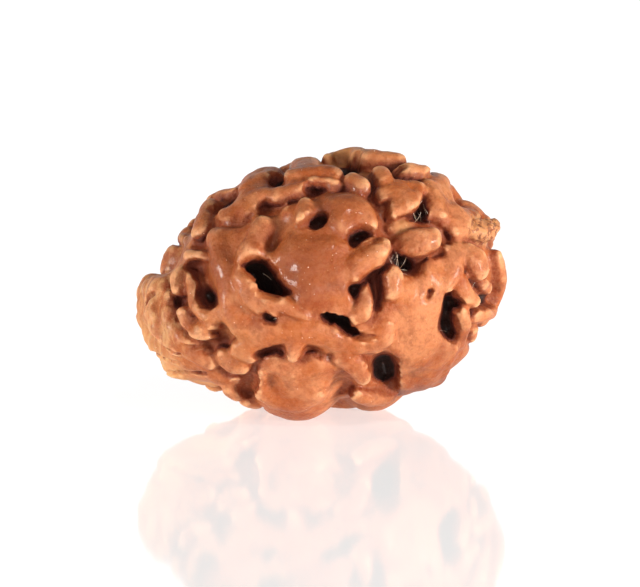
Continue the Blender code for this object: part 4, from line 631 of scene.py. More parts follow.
def carvedMesh(steps):
    # The sphere raised to the bead's relief, then with its raised edges swollen over the pits.
    noise.seed_set(stoneForm["patternSeed"])
    mesh, directions = spherePoints(steps)
    directions /= np.linalg.norm(directions, axis=1)[:, None]
    height = reliefOf(directions) + fineRelief(directions * halfSizes)
    points = directions * (halfSizes + height[:, None]) + leanOf(directions, height)
    share = smoothStep(*stoneForm["evenBelow"], height)
    points = evenedOut(mesh, points, share, stoneForm["evenPasses"])
    swell = stoneForm["lipSwell"] * smoothStep(*stoneForm["lipHeights"], height)
    for push in (0.5, 0.5):
        setPoints(mesh, points)
        points = points + normalsOf(mesh) * (push * swell)[:, None]
    setPoints(mesh, points)
    return mesh


def appliedObject(piece):
    # Makes the modifiers' result the object's own mesh.
    graph = bpy.context.evaluated_depsgraph_get()
    mesh = bpy.data.meshes.new_from_object(piece.evaluated_get(graph))
    old = piece.data
    piece.modifiers.clear()
    piece.data = mesh
    bpy.data.meshes.remove(old)


def keepLargestShell(mesh):
    # Removes any sealed bubble left inside the body.
    body = bmesh.new()
    body.from_mesh(mesh)
    body.faces.ensure_lookup_table()
    unseen = set(body.faces)
    shells = []
    while unseen:
        stack = [unseen.pop()]
        shell = list(stack)
        while stack:
            for edge in stack.pop().edges:
                for face in edge.link_faces:
                    if face in unseen:
                        unseen.remove(face)
                        stack.append(face)
                        shell.append(face)
        shells.append(shell)
    shells.sort(key=len)
    for shell in shells[:-1]:
        bmesh.ops.delete(body, geom=shell, context="FACES")
    loose = [point for point in body.verts if not point.link_faces]
    bmesh.ops.delete(body, geom=loose, context="VERTS")
    body.to_mesh(mesh)
    body.free()


def beadToWorld():
    # From the ellipsoid's own axes to the bead's frame: +X right, +Y away, +Z up.
    tilt = Matrix.Rotation(math.radians(stoneForm["beadTilt"]), 4, "Z")
    place = Matrix.Translation((stoneForm["centreRight"], stoneForm["centreUp"], 0.0))
    rise = Matrix.Rotation(math.radians(90.0 - stoneForm["viewRise"]), 4, "X")
    return rise @ place @ tilt


def standUp(mesh):
    mesh.transform(beadToWorld())


def drawDownFeet(mesh):
    # Draws the underside down at the three low points that the bead rests on.
    points = np.empty(len(mesh.vertices) * 3)
    mesh.vertices.foreach_get("co", points)
    points = points.reshape(-1, 3)
    below = points[:, 2] < stoneForm["footZone"] * stoneForm["halfHeight"]
    x, y, radius, rise = stoneForm["archUnder"]
    away = ((points[below, 0] - x) ** 2 + (points[below, 1] - y) ** 2) / radius ** 2
    points[below, 2] += rise * np.exp(-away)
    for x, y, radius in stoneForm["feet"]:
        away = ((points[:, 0] - x) ** 2 + (points[:, 1] - y) ** 2) / radius ** 2
        foot = -stoneForm["restDepth"] + stoneForm["footRise"] * away
        points[below, 2] = smoothMin(points[below, 2], foot[below], stoneForm["footBlend"])
    points[:, 2] = np.maximum(points[:, 2], -stoneForm["restDepth"])
    setPoints(mesh, points)


def makeBead(collection, name, steps, voxel, triangles, smoothing):
    # One closed body, still in millimetres round the ellipsoid's centre.
    piece = bpy.data.objects.new(name, carvedMesh(steps))
    collection.objects.link(piece)
    standUp(piece.data)
    drawDownFeet(piece.data)
    remesh = piece.modifiers.new("even mesh", "REMESH")
    remesh.mode = "VOXEL"
    remesh.voxel_size = voxel
    appliedObject(piece)
    keepLargestShell(piece.data)
    smooth = piece.modifiers.new("worn smooth", "SMOOTH")
    smooth.factor = 0.5
    smooth.iterations = smoothing
    fewer = piece.modifiers.new("fewer faces", "DECIMATE")
    fewer.ratio = min(1.0, triangles / (2.0 * len(piece.data.polygons)))
    appliedObject(piece)
    return piece


def setInFrame(mesh):
    # To metres, centred over the origin, with the worn underside a little below the ground plane.
    points = np.empty(len(mesh.vertices) * 3)
    mesh.vertices.foreach_get("co", points)
    points = points.reshape(-1, 3)
    low, high = points.min(0), points.max(0)
    middle = (low + high) / 2.0
    shift = Vector((-middle[0], -middle[1], -low[2] - stoneForm["flatDepth"]))
    mesh.transform(Matrix.Scale(stoneForm["millimetre"], 4) @ Matrix.Translation(shift))
    mesh.update()
    return shift


def neighbourMean(mesh, values, passes):
    # Evens values out over the mesh, along its edges.
    ends = np.empty(len(mesh.edges) * 2, np.int32)
    mesh.edges.foreach_get("vertices", ends)
    a, b = ends[0::2], ends[1::2]
    count = np.bincount(ends, minlength=len(values)) + 1.0
    for _ in range(passes):
        total = values + np.bincount(a, values[b], len(values)) + np.bincount(b, values[a], len(values))
        values = total / count
    return values


def pointsOf(mesh):
    points = np.empty(len(mesh.vertices) * 3, np.float32)
    mesh.vertices.foreach_get("co", points)
    return points.reshape(-1, 3).astype(float)


def crestTurn(mesh):
    # How sharply the surface turns outward at each point: high on lips and rims.
    ends = np.empty(len(mesh.edges) * 2, np.int32)
    mesh.edges.foreach_get("vertices", ends)
    a, b = ends[0::2], ends[1::2]
    points, normals = pointsOf(mesh), normalsOf(mesh)
    step = points[b] - points[a]
    step /= np.linalg.norm(step, axis=1)[:, None] + 1e-12
    turn = np.bincount(a, -(normals[a] * step).sum(1), len(points))
    turn += np.bincount(b, (normals[b] * step).sum(1), len(points))
    return neighbourMean(mesh, turn / np.bincount(ends, minlength=len(points)), 2)


def pitShade(piece, rays, reach):
    # How closed in each point is, from 0 in the open to 1 deep in a pit.
    mesh = piece.data
    tree = BVHTree.FromObject(piece, bpy.context.evaluated_depsgraph_get())
    points, normals = pointsOf(mesh), normalsOf(mesh)
    steep = np.abs(normals[:, :1]) > 0.7
    helper = np.where(steep, np.array([[0.0, 1.0, 0.0]]), np.array([[1.0, 0.0, 0.0]]))
    side = np.cross(normals, helper)
    side /= np.linalg.norm(side, axis=1)[:, None]
    other = np.cross(normals, side)
    closed = np.zeros(len(points))
    starts = points + normals * reach * 0.01
    for k in range(rays):
        rise = math.sqrt(1.0 - (k + 0.5) / rays)   # more rays along the normal than sideways
        flat = math.sqrt(1.0 - rise * rise)
        turn = k * math.pi * (3.0 - math.sqrt(5.0))   # the golden angle spreads the rays evenly
        way = normals * rise + side * (flat * math.cos(turn)) + other * (flat * math.sin(turn))
        cast = tree.ray_cast
        for i, (start, along) in enumerate(zip(starts.tolist(), way.tolist())):
            hit = cast(start, along, reach)[3]
            if hit is not None:
                closed[i] += 1.0 - 0.5 * hit / reach
    return neighbourMean(mesh, closed / rays, 2)


def sunkBy(mesh, shift):
    # How far each point lies under the plain ellipsoid, in millimetres.
    bead = beadPoints(mesh, shift)
    reach = bead / halfSizes
    length = np.linalg.norm(reach, axis=1)
    way = reach / length[:, None]
    radial = (1.0 - length) / (way ** 2 / halfSizes).sum(1)
    # The front's pits run straight back, so there the depth behind the ellipsoid counts too.
    across = np.minimum((reach[:, :2] ** 2).sum(1), 1.0)
    behind = halfSizes[2] * np.sqrt(1.0 - across) - bead[:, 2]
    facing = normalsOf(mesh) @ np.array(beadToWorld().to_3x3())[:, 2]
    shown = smoothStep(0.1, 0.4, facing) * smoothStep(0.0, 1.0, bead[:, 2])
    return np.maximum(radial, behind * shown)


def storeValues(mesh, name, values):
    attribute = mesh.attributes.new(name, "FLOAT", "POINT")
    attribute.data.foreach_set("value", values.astype(np.float32))


def addNode(tree, kind, inputs=None, **settings):
    # Adds a node; inputs may be plain values or the sockets that feed them.
    node = tree.nodes.new(kind)
    for name, value in settings.items():
        setattr(node, name, value)
    for name, value in (inputs or {}).items():
        if isinstance(value, bpy.types.NodeSocket):
            tree.links.new(value, node.inputs[name])
        else:
            node.inputs[name].default_value = value
    return node


def mixColours(tree, factor, low, high):
    node = tree.nodes.new("ShaderNodeMix")
    node.data_type = "RGBA"
    for index, value in ((0, factor), (6, low), (7, high)):
        if isinstance(value, bpy.types.NodeSocket):
            tree.links.new(value, node.inputs[index])
        else:
            node.inputs[index].default_value = value
    return node.outputs[2]


def maths(tree, operation, a, b=0.0):
    return addNode(tree, "ShaderNodeMath", {0: a, 1: b}, operation=operation).outputs[0]


def rampOf(tree, value, low, high):
    # Runs smoothly from 0 to 1 while the value goes from low to high.
    node = addNode(tree, "ShaderNodeMapRange", {"Value": value, "From Min": low, "From Max": high})
    node.interpolation_type = "SMOOTHSTEP"
    return node.outputs["Result"]


def noiseOf(tree, vector, scale, detail=3.0, rough=0.55):
    node = addNode(tree, "ShaderNodeTexNoise", {"Vector": vector, "Scale": scale, "Detail": detail,
                                                "Roughness": rough})
    return node.outputs["Fac"]


def newMaterial(name):
    material = bpy.data.materials.new(name)
    material.use_nodes = True
    tree = material.node_tree
    tree.nodes.clear()
    output = tree.nodes.new("ShaderNodeOutputMaterial")
    shader = tree.nodes.new("ShaderNodeBsdfPrincipled")
    tree.links.new(shader.outputs[0], output.inputs["Surface"])
    return material, tree, shader


def millimetreCoordinates(tree, stretch=(1.0, 1.0, 1.0)):
    # The piece's own coordinates, in millimetres.
    place = tree.nodes.new("ShaderNodeTexCoord")
    scale = [1000.0 * s for s in stretch]
    return addNode(tree, "ShaderNodeMapping", {"Vector": place.outputs["Object"], "Scale": scale}).outputs[0]


def attributeOf(tree, name):
    return addNode(tree, "ShaderNodeAttribute", attribute_name=name).outputs["Fac"]


def mottleGroup():
    # Uneven colour of dried fruit skin, used by the stone, its fibres and its dust.
    group = bpy.data.node_groups.new("dryMottle", "ShaderNodeTree")
    for name, kind in (("Vector", "NodeSocketVector"), ("Scale", "NodeSocketFloat"),
                       ("Light", "NodeSocketColor"), ("Dark", "NodeSocketColor")):
        group.interface.new_socket(name=name, in_out="INPUT", socket_type=kind)
    group.interface.new_socket(name="Color", in_out="OUTPUT", socket_type="NodeSocketColor")
    group.interface.new_socket(name="Mask", in_out="OUTPUT", socket_type="NodeSocketFloat")
    enter = group.nodes.new("NodeGroupInput")
    leave = group.nodes.new("NodeGroupOutput")
    warp = addNode(group, "ShaderNodeTexNoise", {"Vector": enter.outputs["Vector"], "Scale": 0.9,
                                                 "Detail": 2.0})
    bent = addNode(group, "ShaderNodeVectorMath", {0: warp.outputs["Color"], 1: enter.outputs["Vector"]},
                   operation="ADD")
    patches = addNode(group, "ShaderNodeTexNoise", {
        "Vector": bent.outputs[0], "Scale": enter.outputs["Scale"], "Detail": 4.0, "Roughness": 0.62})
    mask = rampOf(group, patches.outputs["Fac"], 0.36, 0.66)
    colour = mixColours(group, mask, enter.outputs["Dark"], enter.outputs["Light"])
    group.links.new(colour, leave.inputs["Color"])
    group.links.new(mask, leave.inputs["Mask"])
    return group


stoneFinish = {
    "caramel": (0.440, 0.106, 0.017, 1.0),
    "ember": (0.330, 0.058, 0.005, 1.0),       # saturated orange brown of the raised lobes
    "amber": (0.375, 0.074, 0.003, 1.0),       # glossier, deeper orange of the proud lobes
    "dusty": (0.620, 0.236, 0.096, 1.0),       # pinkish tan bloom on worn flats
    "highlightAndFleck": (0.890, 0.470, 0.230, 1.0),         # painted highlight along lips and swellings; also the real pale flecks
    "valley": (0.220, 0.032, 0.004, 1.0),      # painted shade, darker skin where the surface closes in
    "creviceShade": (0.120, 0.017, 0.006, 1.0),     # painted shade, reddish brown on the way down into a pit
    "pit": (0.034, 0.010, 0.006, 1.0),         # near black at the bottom of the pits: painted shade, partly the dark residue there
    "capStreak": (0.760, 0.420, 0.180, 1.0),   # yellowish streaks of the tip end
    "wheat": (0.800, 0.400, 0.150, 1.0),       # paler zones, partly painted light
    "umber": (0.190, 0.032, 0.003, 1.0),       # stains and freckles, and the darker zones, partly painted shade
    "stemTan": (0.600, 0.270, 0.105, 1.0),
    "stemPore": (0.160, 0.040, 0.014, 1.0),
    "barkShare": 0.75,
    "patchScale": 0.42,
    "duskScale": 0.55,
    "stainScale": 0.50,
    "fineScale": 2.8,
    "freckleScale": 3.6,
    "poreScale": 2.4,
    "fleckScale": 2.6,
    "dentScale": 1.5,
    "dentHeight": 0.00020,
    "grainScale": 8.0,
    "grainHeight": 0.00003,
    "shredScale": 3.0,
    "shredHeight": 0.00050,                    # torn pulp in the pits
    "gloss": (0.40, 0.66),                     # roughness of waxy and of dusty skin
    "coat": (0.07, 0.30, 0.5),                 # polish everywhere, more where waxy, and deep in pits
    "glow": 0.20,                              # light that soaks in and comes out again
}

# Where each mask of the skin sets in and where it is full, then how much its colour covers.
stoneMasks = {
    "open": (0.22, 0.45),
    "bloom": (0.42, 0.66, 0.72),
    "amber": (0.05, 0.75, 0.85),
    # painted highlight on swellings and lips, painted shade in the valleys
    "swellHighlight": (0.01, 0.09, 0.22),
    "lipHighlight": (0.045, 0.11, 0.72),
    "valley": (0.07, 0.28, 0.92),
    "freckle": (0.52, 0.70, 0.30),
    "fine": (0.38, 0.62, 0.24),
    "stain": (0.50, 0.64, 0.42),
    "zone": (0.0, 1.0, 0.8),
    "tip": (9.0, 12.5),
    "streak": (0.42, 0.66, 0.75),
    "pores": (0.40, 0.52),
    "fleck": (0.07, 0.17, 0.35),
    "fleckZone": (0.48, 0.62),
    # painted shade down into the pits, by how closed in the surface is
    "creviceShade": (0.30, 0.58),
    "deep": (0.60, 0.86),
    "dull": (0.25, 0.5),
    "polish": (-0.1, 0.8),
    "shred": (0.45, 0.65),
}


def maskOf(tree, value, name):
    return rampOf(tree, value, *stoneMasks[name][:2])


def layered(tree, under, over, mask, name):
    # Lays a colour over another by the named mask's share.
    return mixColours(tree, maths(tree, "MULTIPLY", mask, stoneMasks[name][2]), under, over)


def makeStoneMaterial(mottle):
    v = stoneFinish
    material, tree, shader = newMaterial("rudrakshaSkin")
    place = millimetreCoordinates(tree)
    shade = attributeOf(tree, "pitShade")
    waxy = attributeOf(tree, "waxy")
    toneAndLight = attributeOf(tree, "toneAndLight")
    open_ = maths(tree, "SUBTRACT", 1.0, maskOf(tree, shade, "open"))
    skin = addNode(tree, "ShaderNodeGroup", {"Vector": place, "Scale": v["patchScale"], "Light": v["caramel"],
                                             "Dark": v["ember"]}, node_tree=mottle)
    # Waxy lobes and dusty flats
    dry = maths(tree, "SUBTRACT", noiseOf(tree, place, v["duskScale"], 6.0, 0.62),
                maths(tree, "MULTIPLY", waxy, 0.26))
    bloom = maths(tree, "MULTIPLY", maskOf(tree, dry, "bloom"), open_)
    colour = layered(tree, skin.outputs["Color"], v["dusty"], bloom, "bloom")
    colour = layered(tree, colour, v["amber"], maskOf(tree, waxy, "amber"), "amber")
    # Painted highlight on swellings and lips, painted shade in the valleys where the surface closes in
    swellHighlight = maths(tree, "MULTIPLY", maskOf(tree, attributeOf(tree, "broadTurn"), "swellHighlight"), open_)
    colour = layered(tree, colour, v["highlightAndFleck"], swellHighlight, "swellHighlight")
    lipHighlight = maths(tree, "MULTIPLY", maskOf(tree, attributeOf(tree, "crestTurn"), "lipHighlight"), open_)
    colour = layered(tree, colour, v["highlightAndFleck"], lipHighlight, "lipHighlight")
    colour = layered(tree, colour, v["valley"], maskOf(tree, shade, "valley"), "valley")
    # Stains, freckles and fine unevenness
    freckle = noiseOf(tree, place, v["freckleScale"], 3.0, 0.6)
    colour = layered(tree, colour, v["umber"], maskOf(tree, freckle, "freckle"), "freckle")
    fine = noiseOf(tree, place, v["fineScale"], 5.0, 0.7)
    colour = layered(tree, colour, v["dusty"], maskOf(tree, fine, "fine"), "fine")
    stain = noiseOf(tree, place, v["stainScale"], 6.0, 0.68)
    colour = layered(tree, colour, v["umber"], maskOf(tree, stain, "stain"), "stain")
    # Paler and darker zones, partly the skin's own and partly painted light and shade
    paler = maths(tree, "MULTIPLY", maskOf(tree, toneAndLight, "zone"), open_)
    colour = layered(tree, colour, v["wheat"], paler, "zone")
    darker = maskOf(tree, maths(tree, "MULTIPLY", toneAndLight, -1.0), "zone")
    colour = layered(tree, colour, v["umber"], darker, "zone")
    # Yellowish streaks round the tip end
    streaks = noiseOf(tree, millimetreCoordinates(tree, (1.6, 1.6, 0.35)), 1.1, 5.0, 0.65)
    along = addNode(tree, "ShaderNodeSeparateXYZ", {0: place}).outputs["X"]
    tip = maskOf(tree, maths(tree, "MULTIPLY", along, -1.0), "tip")
    streak = maths(tree, "MULTIPLY", maskOf(tree, streaks, "streak"), tip)
    streak = maths(tree, "MULTIPLY", streak, open_)
    colour = layered(tree, colour, v["capStreak"], streak, "streak")
    # Tan, porous stem end
    pores = maskOf(tree, noiseOf(tree, place, v["poreScale"], 3.0, 0.6), "pores")
    bark = mixColours(tree, pores, v["stemPore"], v["stemTan"])
    blunt = maths(tree, "MULTIPLY", attributeOf(tree, "stemEnd"), v["barkShare"])
    colour = mixColours(tree, blunt, colour, bark)
    # Fine pale flecks
    cells = addNode(tree, "ShaderNodeTexVoronoi", {"Vector": place, "Scale": v["fleckScale"],
                                                   "Randomness": 1.0})
    fleck = maths(tree, "SUBTRACT", 1.0, maskOf(tree, cells.outputs["Distance"], "fleck"))
    fleck = maths(tree, "MULTIPLY", fleck, maskOf(tree, noiseOf(tree, place, 0.8), "fleckZone"))
    colour = layered(tree, colour, v["highlightAndFleck"], fleck, "fleck")
    # Painted shade into the pits, near black at their bottoms, partly the dark residue there
    colour = mixColours(tree, maskOf(tree, shade, "creviceShade"), colour, v["creviceShade"])
    deep = maskOf(tree, shade, "deep")
    colour = mixColours(tree, deep, colour, v["pit"])
    tree.links.new(colour, shader.inputs["Base Color"])
    dull = maths(tree, "MAXIMUM", bloom, maskOf(tree, shade, "dull"))
    dull = maths(tree, "MAXIMUM", dull, maths(tree, "MULTIPLY", noiseOf(tree, place, 2.2), 0.6))
    rough = addNode(tree, "ShaderNodeMapRange", {"Value": dull, "To Min": v["gloss"][0],
                                                 "To Max": v["gloss"][1]})
    tree.links.new(rough.outputs["Result"], shader.inputs["Roughness"])
    leastCoat, moreCoat, wetCoat = v["coat"]
    polish = maths(tree, "MULTIPLY", maskOf(tree, waxy, "polish"), moreCoat)
    polish = maths(tree, "ADD", polish, leastCoat)
    wet = maths(tree, "MULTIPLY", deep, wetCoat)
    coat = maths(tree, "ADD", maths(tree, "MULTIPLY", open_, polish), wet)
    tree.links.new(coat, shader.inputs["Coat Weight"])
    shader.inputs["Coat Roughness"].default_value = 0.13
    shader.inputs["Specular IOR Level"].default_value = 0.32
    shader.inputs["Sheen Weight"].default_value = 0.02
    shader.inputs["Sheen Roughness"].default_value = 0.45
    shader.inputs["Sheen Tint"].default_value = (1.0, 0.82, 0.70, 1.0)
    shader.inputs["Subsurface Weight"].default_value = v["glow"]
    shader.inputs["Subsurface Radius"].default_value = (1.0, 0.38, 0.16)
    shader.inputs["Subsurface Scale"].default_value = 0.0009
    # Dents, then grain over them, then torn pulp in the pits
    dents = noiseOf(tree, place, v["dentScale"], 5.0, 0.62)
    lower = addNode(tree, "ShaderNodeBump", {"Height": dents, "Distance": v["dentHeight"], "Strength": 1.0})
    grain = noiseOf(tree, place, v["grainScale"], 4.0, 0.7)
    grain = maths(tree, "ADD", grain, maths(tree, "MULTIPLY", fleck, 0.5))
    upper = addNode(tree, "ShaderNodeBump", {"Height": grain, "Distance": v["grainHeight"], "Strength": 1.0,
                                             "Normal": lower.outputs[0]})
    shred = noiseOf(tree, millimetreCoordinates(tree, (1.0, 0.4, 0.5)), v["shredScale"], 4.0, 0.7)
    shred = maths(tree, "MULTIPLY", shred, maskOf(tree, shade, "shred"))
    torn = addNode(tree, "ShaderNodeBump", {"Height": shred, "Distance": v["shredHeight"], "Strength": 1.0,
                                            "Normal": upper.outputs[0]})
    tree.links.new(torn.outputs[0], shader.inputs["Normal"])
    return material


fibreFinish = {"pale": (0.95, 0.84, 0.68, 1.0), "tan": (0.42, 0.20, 0.09, 1.0), "scale": 1.4}
dustFinish = {"pale": (0.95, 0.76, 0.60, 1.0), "tan": (0.78, 0.46, 0.28, 1.0), "scale": 2.0}


def makeDryMaterial(name, values, mottle, rough):
    # Dry matte matter: pulp fibres and dust.
    material, tree, shader = newMaterial(name)
    place = millimetreCoordinates(tree)
    skin = addNode(tree, "ShaderNodeGroup", node_tree=mottle)
    tree.links.new(place, skin.inputs["Vector"])
    skin.inputs["Scale"].default_value = values["scale"]
    skin.inputs["Light"].default_value = values["pale"]
    skin.inputs["Dark"].default_value = values["tan"]
    tree.links.new(skin.outputs["Color"], shader.inputs["Base Color"])
    uneven = addNode(tree, "ShaderNodeMapRange", {"Value": skin.outputs["Mask"], "To Min": rough - 0.15,
                                                  "To Max": rough})
    tree.links.new(uneven.outputs["Result"], shader.inputs["Roughness"])
    fine = addNode(tree, "ShaderNodeBump", {"Height": noiseOf(tree, place, 9.0), "Distance": 0.00002,
                                            "Strength": 1.0})
    tree.links.new(fine.outputs[0], shader.inputs["Normal"])
    return material


def newGeometryTree(name, sockets):
    tree = bpy.data.node_groups.new(name, "GeometryNodeTree")
    tree.interface.new_socket(name="Geometry", in_out="INPUT", socket_type="NodeSocketGeometry")
    for label, kind in sockets:
        tree.interface.new_socket(name=label, in_out="INPUT", socket_type="NodeSocket" + kind)
    tree.interface.new_socket(name="Geometry", in_out="OUTPUT", socket_type="NodeSocketGeometry")
    return tree, tree.nodes.new("NodeGroupInput"), tree.nodes.new("NodeGroupOutput")


def finishTree(tree, instances, material, leave):
    real = addNode(tree, "GeometryNodeRealizeInstances", {"Geometry": instances})
    dressed = addNode(tree, "GeometryNodeSetMaterial", {"Geometry": real.outputs[0], "Material": material})
    tree.links.new(dressed.outputs[0], leave.inputs[0])


def makeDustTree():
    # Small grains, scattered where the named density is high.
    tree, enter, leave = newGeometryTree("dustScatter", (
        ("Density", "Float"), ("Grain Size", "Float"), ("Seed", "Int"), ("Finish", "Material")))
    where = addNode(tree, "GeometryNodeInputNamedAttribute", {"Name": "dustBed"}, data_type="FLOAT")
    dense = maths(tree, "MULTIPLY", enter.outputs["Density"], where.outputs["Attribute"])
    spots = addNode(tree, "GeometryNodeDistributePointsOnFaces", {
        "Mesh": enter.outputs["Geometry"], "Density": dense, "Seed": enter.outputs["Seed"]})
    grain = addNode(tree, "GeometryNodeMeshIcoSphere", {
        "Radius": enter.outputs["Grain Size"], "Subdivisions": 1})
    size = addNode(tree, "FunctionNodeRandomValue", {"Min": (0.4, 0.4, 0.3), "Max": (1.3, 1.3, 0.8),
                                                     "Seed": enter.outputs["Seed"]}, data_type="FLOAT_VECTOR")
    placed = addNode(tree, "GeometryNodeInstanceOnPoints", {
        "Points": spots.outputs["Points"], "Instance": grain.outputs["Mesh"],
        "Rotation": spots.outputs["Rotation"], "Scale": size.outputs["Value"]})
    finishTree(tree, placed.outputs[0], enter.outputs["Finish"], leave)
    return tree


def makeFibreTree():
    # Short bent fibres of dried pulp, left in the pits.
    tree, enter, leave = newGeometryTree("fibreScatter", (
        ("Density", "Float"), ("Fibre Length", "Float"), ("Fibre Width", "Float"), ("Seed", "Int"),
        ("Finish", "Material")))
    where = addNode(tree, "GeometryNodeInputNamedAttribute", {"Name": "fibreBed"}, data_type="FLOAT")
    dense = maths(tree, "MULTIPLY", enter.outputs["Density"], where.outputs["Attribute"])
    spots = addNode(tree, "GeometryNodeDistributePointsOnFaces", {
        "Mesh": enter.outputs["Geometry"], "Density": dense, "Seed": enter.outputs["Seed"]})
    curve = addNode(tree, "GeometryNodeCurveQuadraticBezier", {
        "Resolution": 7, "Start": (-0.5, -0.08, 0.0), "Middle": (0.05, 0.22, 0.12),
        "End": (0.5, -0.06, 0.04)})
    length = enter.outputs["Fibre Length"]
    longer = addNode(tree, "ShaderNodeCombineXYZ", {"X": length, "Y": length, "Z": length})
    drawn = addNode(tree, "GeometryNodeTransform", {"Geometry": curve.outputs[0], "Scale": longer.outputs[0]})
    ring = addNode(tree, "GeometryNodeCurvePrimitiveCircle", {
        "Resolution": 4, "Radius": enter.outputs["Fibre Width"]})
    along = addNode(tree, "GeometryNodeSplineParameter").outputs["Factor"]
    slim = maths(tree, "SUBTRACT", 1.0, maths(tree, "POWER", maths(tree, "ABSOLUTE", maths(
        tree, "SUBTRACT", maths(tree, "MULTIPLY", along, 2.0), 1.0)), 3.0))
    slim = maths(tree, "ADD", maths(tree, "MULTIPLY", slim, 0.85), 0.15)
    tapered = addNode(tree, "GeometryNodeSetCurveRadius", {"Curve": drawn.outputs[0], "Radius": slim})
    fibre = addNode(tree, "GeometryNodeCurveToMesh", {
        "Curve": tapered.outputs[0], "Profile Curve": ring.outputs[0], "Fill Caps": True})
    turn = addNode(tree, "FunctionNodeRandomValue", {"Min": (0.0, 0.0, 0.0), "Max": (6.28, 6.28, 6.28),
                                                     "Seed": enter.outputs["Seed"]}, data_type="FLOAT_VECTOR")
    size = addNode(tree, "FunctionNodeRandomValue", {"Min": (0.35, 0.35, 0.35), "Max": (1.1, 1.1, 1.1),
                                                     "Seed": 5}, data_type="FLOAT_VECTOR")
    placed = addNode(tree, "GeometryNodeInstanceOnPoints", {
        "Points": spots.outputs["Points"], "Instance": fibre.outputs[0],
        "Rotation": turn.outputs["Value"], "Scale": size.outputs["Value"]})
    finishTree(tree, placed.outputs[0], enter.outputs["Finish"], leave)
    return tree


def setInput(modifier, tree, label, value):
    # Sets a modifier's input by its socket's identifier.
    for item in tree.interface.items_tree:
        if item.item_type == "SOCKET" and item.in_out == "INPUT" and item.name == label:
            modifier[item.identifier] = value


def scattered(name, bed, tree, inputs):
    # Runs a scatter tree over a copy of the bed, and keeps its result as a plain mesh.
    piece = bpy.data.objects.new(name, bed.data.copy())
    bpy.context.scene.collection.objects.link(piece)
    modifier = piece.modifiers.new("scatter", "NODES")
    modifier.node_group = tree
    for label, value in inputs.items():
        setInput(modifier, tree, label, value)
    appliedObject(piece)
    return piece


# Where the skin is waxy (above 0) or dusty (below 0): right, up, reach, amount.
waxySpots = [
    (2.3, 5.3, 2.0, 1.0), (-0.2, 1.8, 2.6, 0.8), (7.8, 3.2, 1.4, 0.8), (-6.4, 0.6, 2.2, 0.5),
    (-6.9, 3.0, 1.6, 0.6), (3.6, 9.8, 2.0, 0.2), (-2.6, 7.2, 2.2, 0.4), (5.4, 0.0, 1.2, 0.6),
    (6.0, 6.2, 1.5, 0.5), (-9.4, 4.4, 1.6, 0.3), (4.4, -9.0, 1.3, 0.5), (-6.8, -8.4, 1.2, 0.7),
    (-9.6, -1.5, 1.2, 0.4), (-0.5, -3.8, 2.2, 0.3), (6.6, -6.8, 1.4, 0.4), (2.6, -6.6, 1.0, 0.3),
    (7.4, -3.2, 2.6, -0.9), (-3.7, 4.0, 1.2, -0.8), (9.4, 5.6, 2.4, -0.7), (9.6, 2.4, 1.6, -0.5),
    (-0.3, -7.6, 1.8, -0.6), (-12.6, -2.8, 2.6, -0.5), (12.9, 4.2, 1.2, -0.9), (6.2, 4.2, 1.0, -1.0),
    (-4.6, 2.4, 1.0, -0.5), (1.6, 9.0, 1.2, -0.2), (8.2, -0.4, 1.6, -0.5), (4.2, -3.0, 1.4, -0.4),
]

# Where the colour is paler (above 0) or darker (below 0), partly the skin's own zones and partly painted
# light and shade: right, up, reach, amount.
toneAndLightSpots = [
    (-11.6, -5.8, 3.4, 1.0), (-8.4, -8.2, 2.4, 0.8), (1.6, 9.4, 3.6, 0.55), (8.0, 7.4, 2.6, 0.25),
    (-1.0, 1.0, 3.2, -0.85), (6.0, -7.6, 3.6, -0.66), (-11.6, 4.8, 2.8, -0.9), (1.4, 5.2, 2.2, -0.75),
    (9.6, -7.0, 2.4, -0.4), (-2.6, -8.6, 2.2, -0.3), (-7.0, 1.2, 2.2, -0.75), (7.9, 3.2, 1.2, -0.4),
    (-6.4, -3.6, 2.4, 0.35), (6.1, 4.0, 0.9, 0.8), (-2.6, -8.0, 1.0, -0.3), (8.6, -4.4, 2.2, -0.5),
]

stoneDetail = {
    "dents": (1.2, 0.050),          # scale and height of the soft dents
    "stemGrain": (2.7, 0.550),      # the rough blunt end
    "stemRoot": (11.7, 3.9, 1.1),   # right, up and radius of its root on the ellipsoid
    "stemPlace": (12.5, 4.2),       # its middle as seen from the front
    "stemReach": (1.1, 1.7),
    "capRibs": (1.05, 0.060),       # spacing and height of the wavy ribs of the tip end
    "capZone": (-9.6, -11.8),       # where the ribs set in, along the bead
    "deepFrom": (0.5, 1.4),         # painted shade of pit bottoms sets in between these depths
    "deepWhere": (0.12, 0.30),      # but only where the surface is this closed in
    "deepShade": 0.48,
    "broadPasses": 14,
    "shadeRays": 18,
    "shadeReach": 0.0032,
}


def fineRelief(surface):
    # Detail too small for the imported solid, added to its relief.
    v = stoneDetail
    root = frontToBead(np.array([v["stemRoot"][:2]]))[0]
    away = ((surface[:, :2] - root) ** 2).sum(1) / v["stemRoot"][2] ** 2
    scaleDent, heightDent = v["dents"]
    scaleStem, heightStem = v["stemGrain"]
    spacing, heightRib = v["capRibs"]
    points = [Vector(p) for p in surface]
    dent = np.array([noise.noise(p * scaleDent) for p in points])
    grain = np.array([noise.noise(p * scaleStem) for p in points])
    bend = np.array([noise.noise(p * 0.5) for p in points])
    across = surface[:, 0] * 0.9 + 0.25 * np.abs(surface[:, 1]) + 2.2 * bend
    ribs = np.sin(across * 2.0 * math.pi / spacing)
    cap = smoothStep(-v["capZone"][0], -v["capZone"][1], -surface[:, 0])
    blunt = np.exp(-away) * (surface[:, 2] > 0.0)
    return heightDent * dent + heightStem * grain * blunt + heightRib * ribs * cap


def beadPoints(mesh, shift):
    # The mesh's points in the ellipsoid's own axes: right, up and to the front, in millimetres.
    toBead = beadToWorld().inverted()
    points = pointsOf(mesh) / stoneForm["millimetre"] - np.array(shift)
    return points @ np.array(toBead.to_3x3()).T + np.array(toBead.translation)


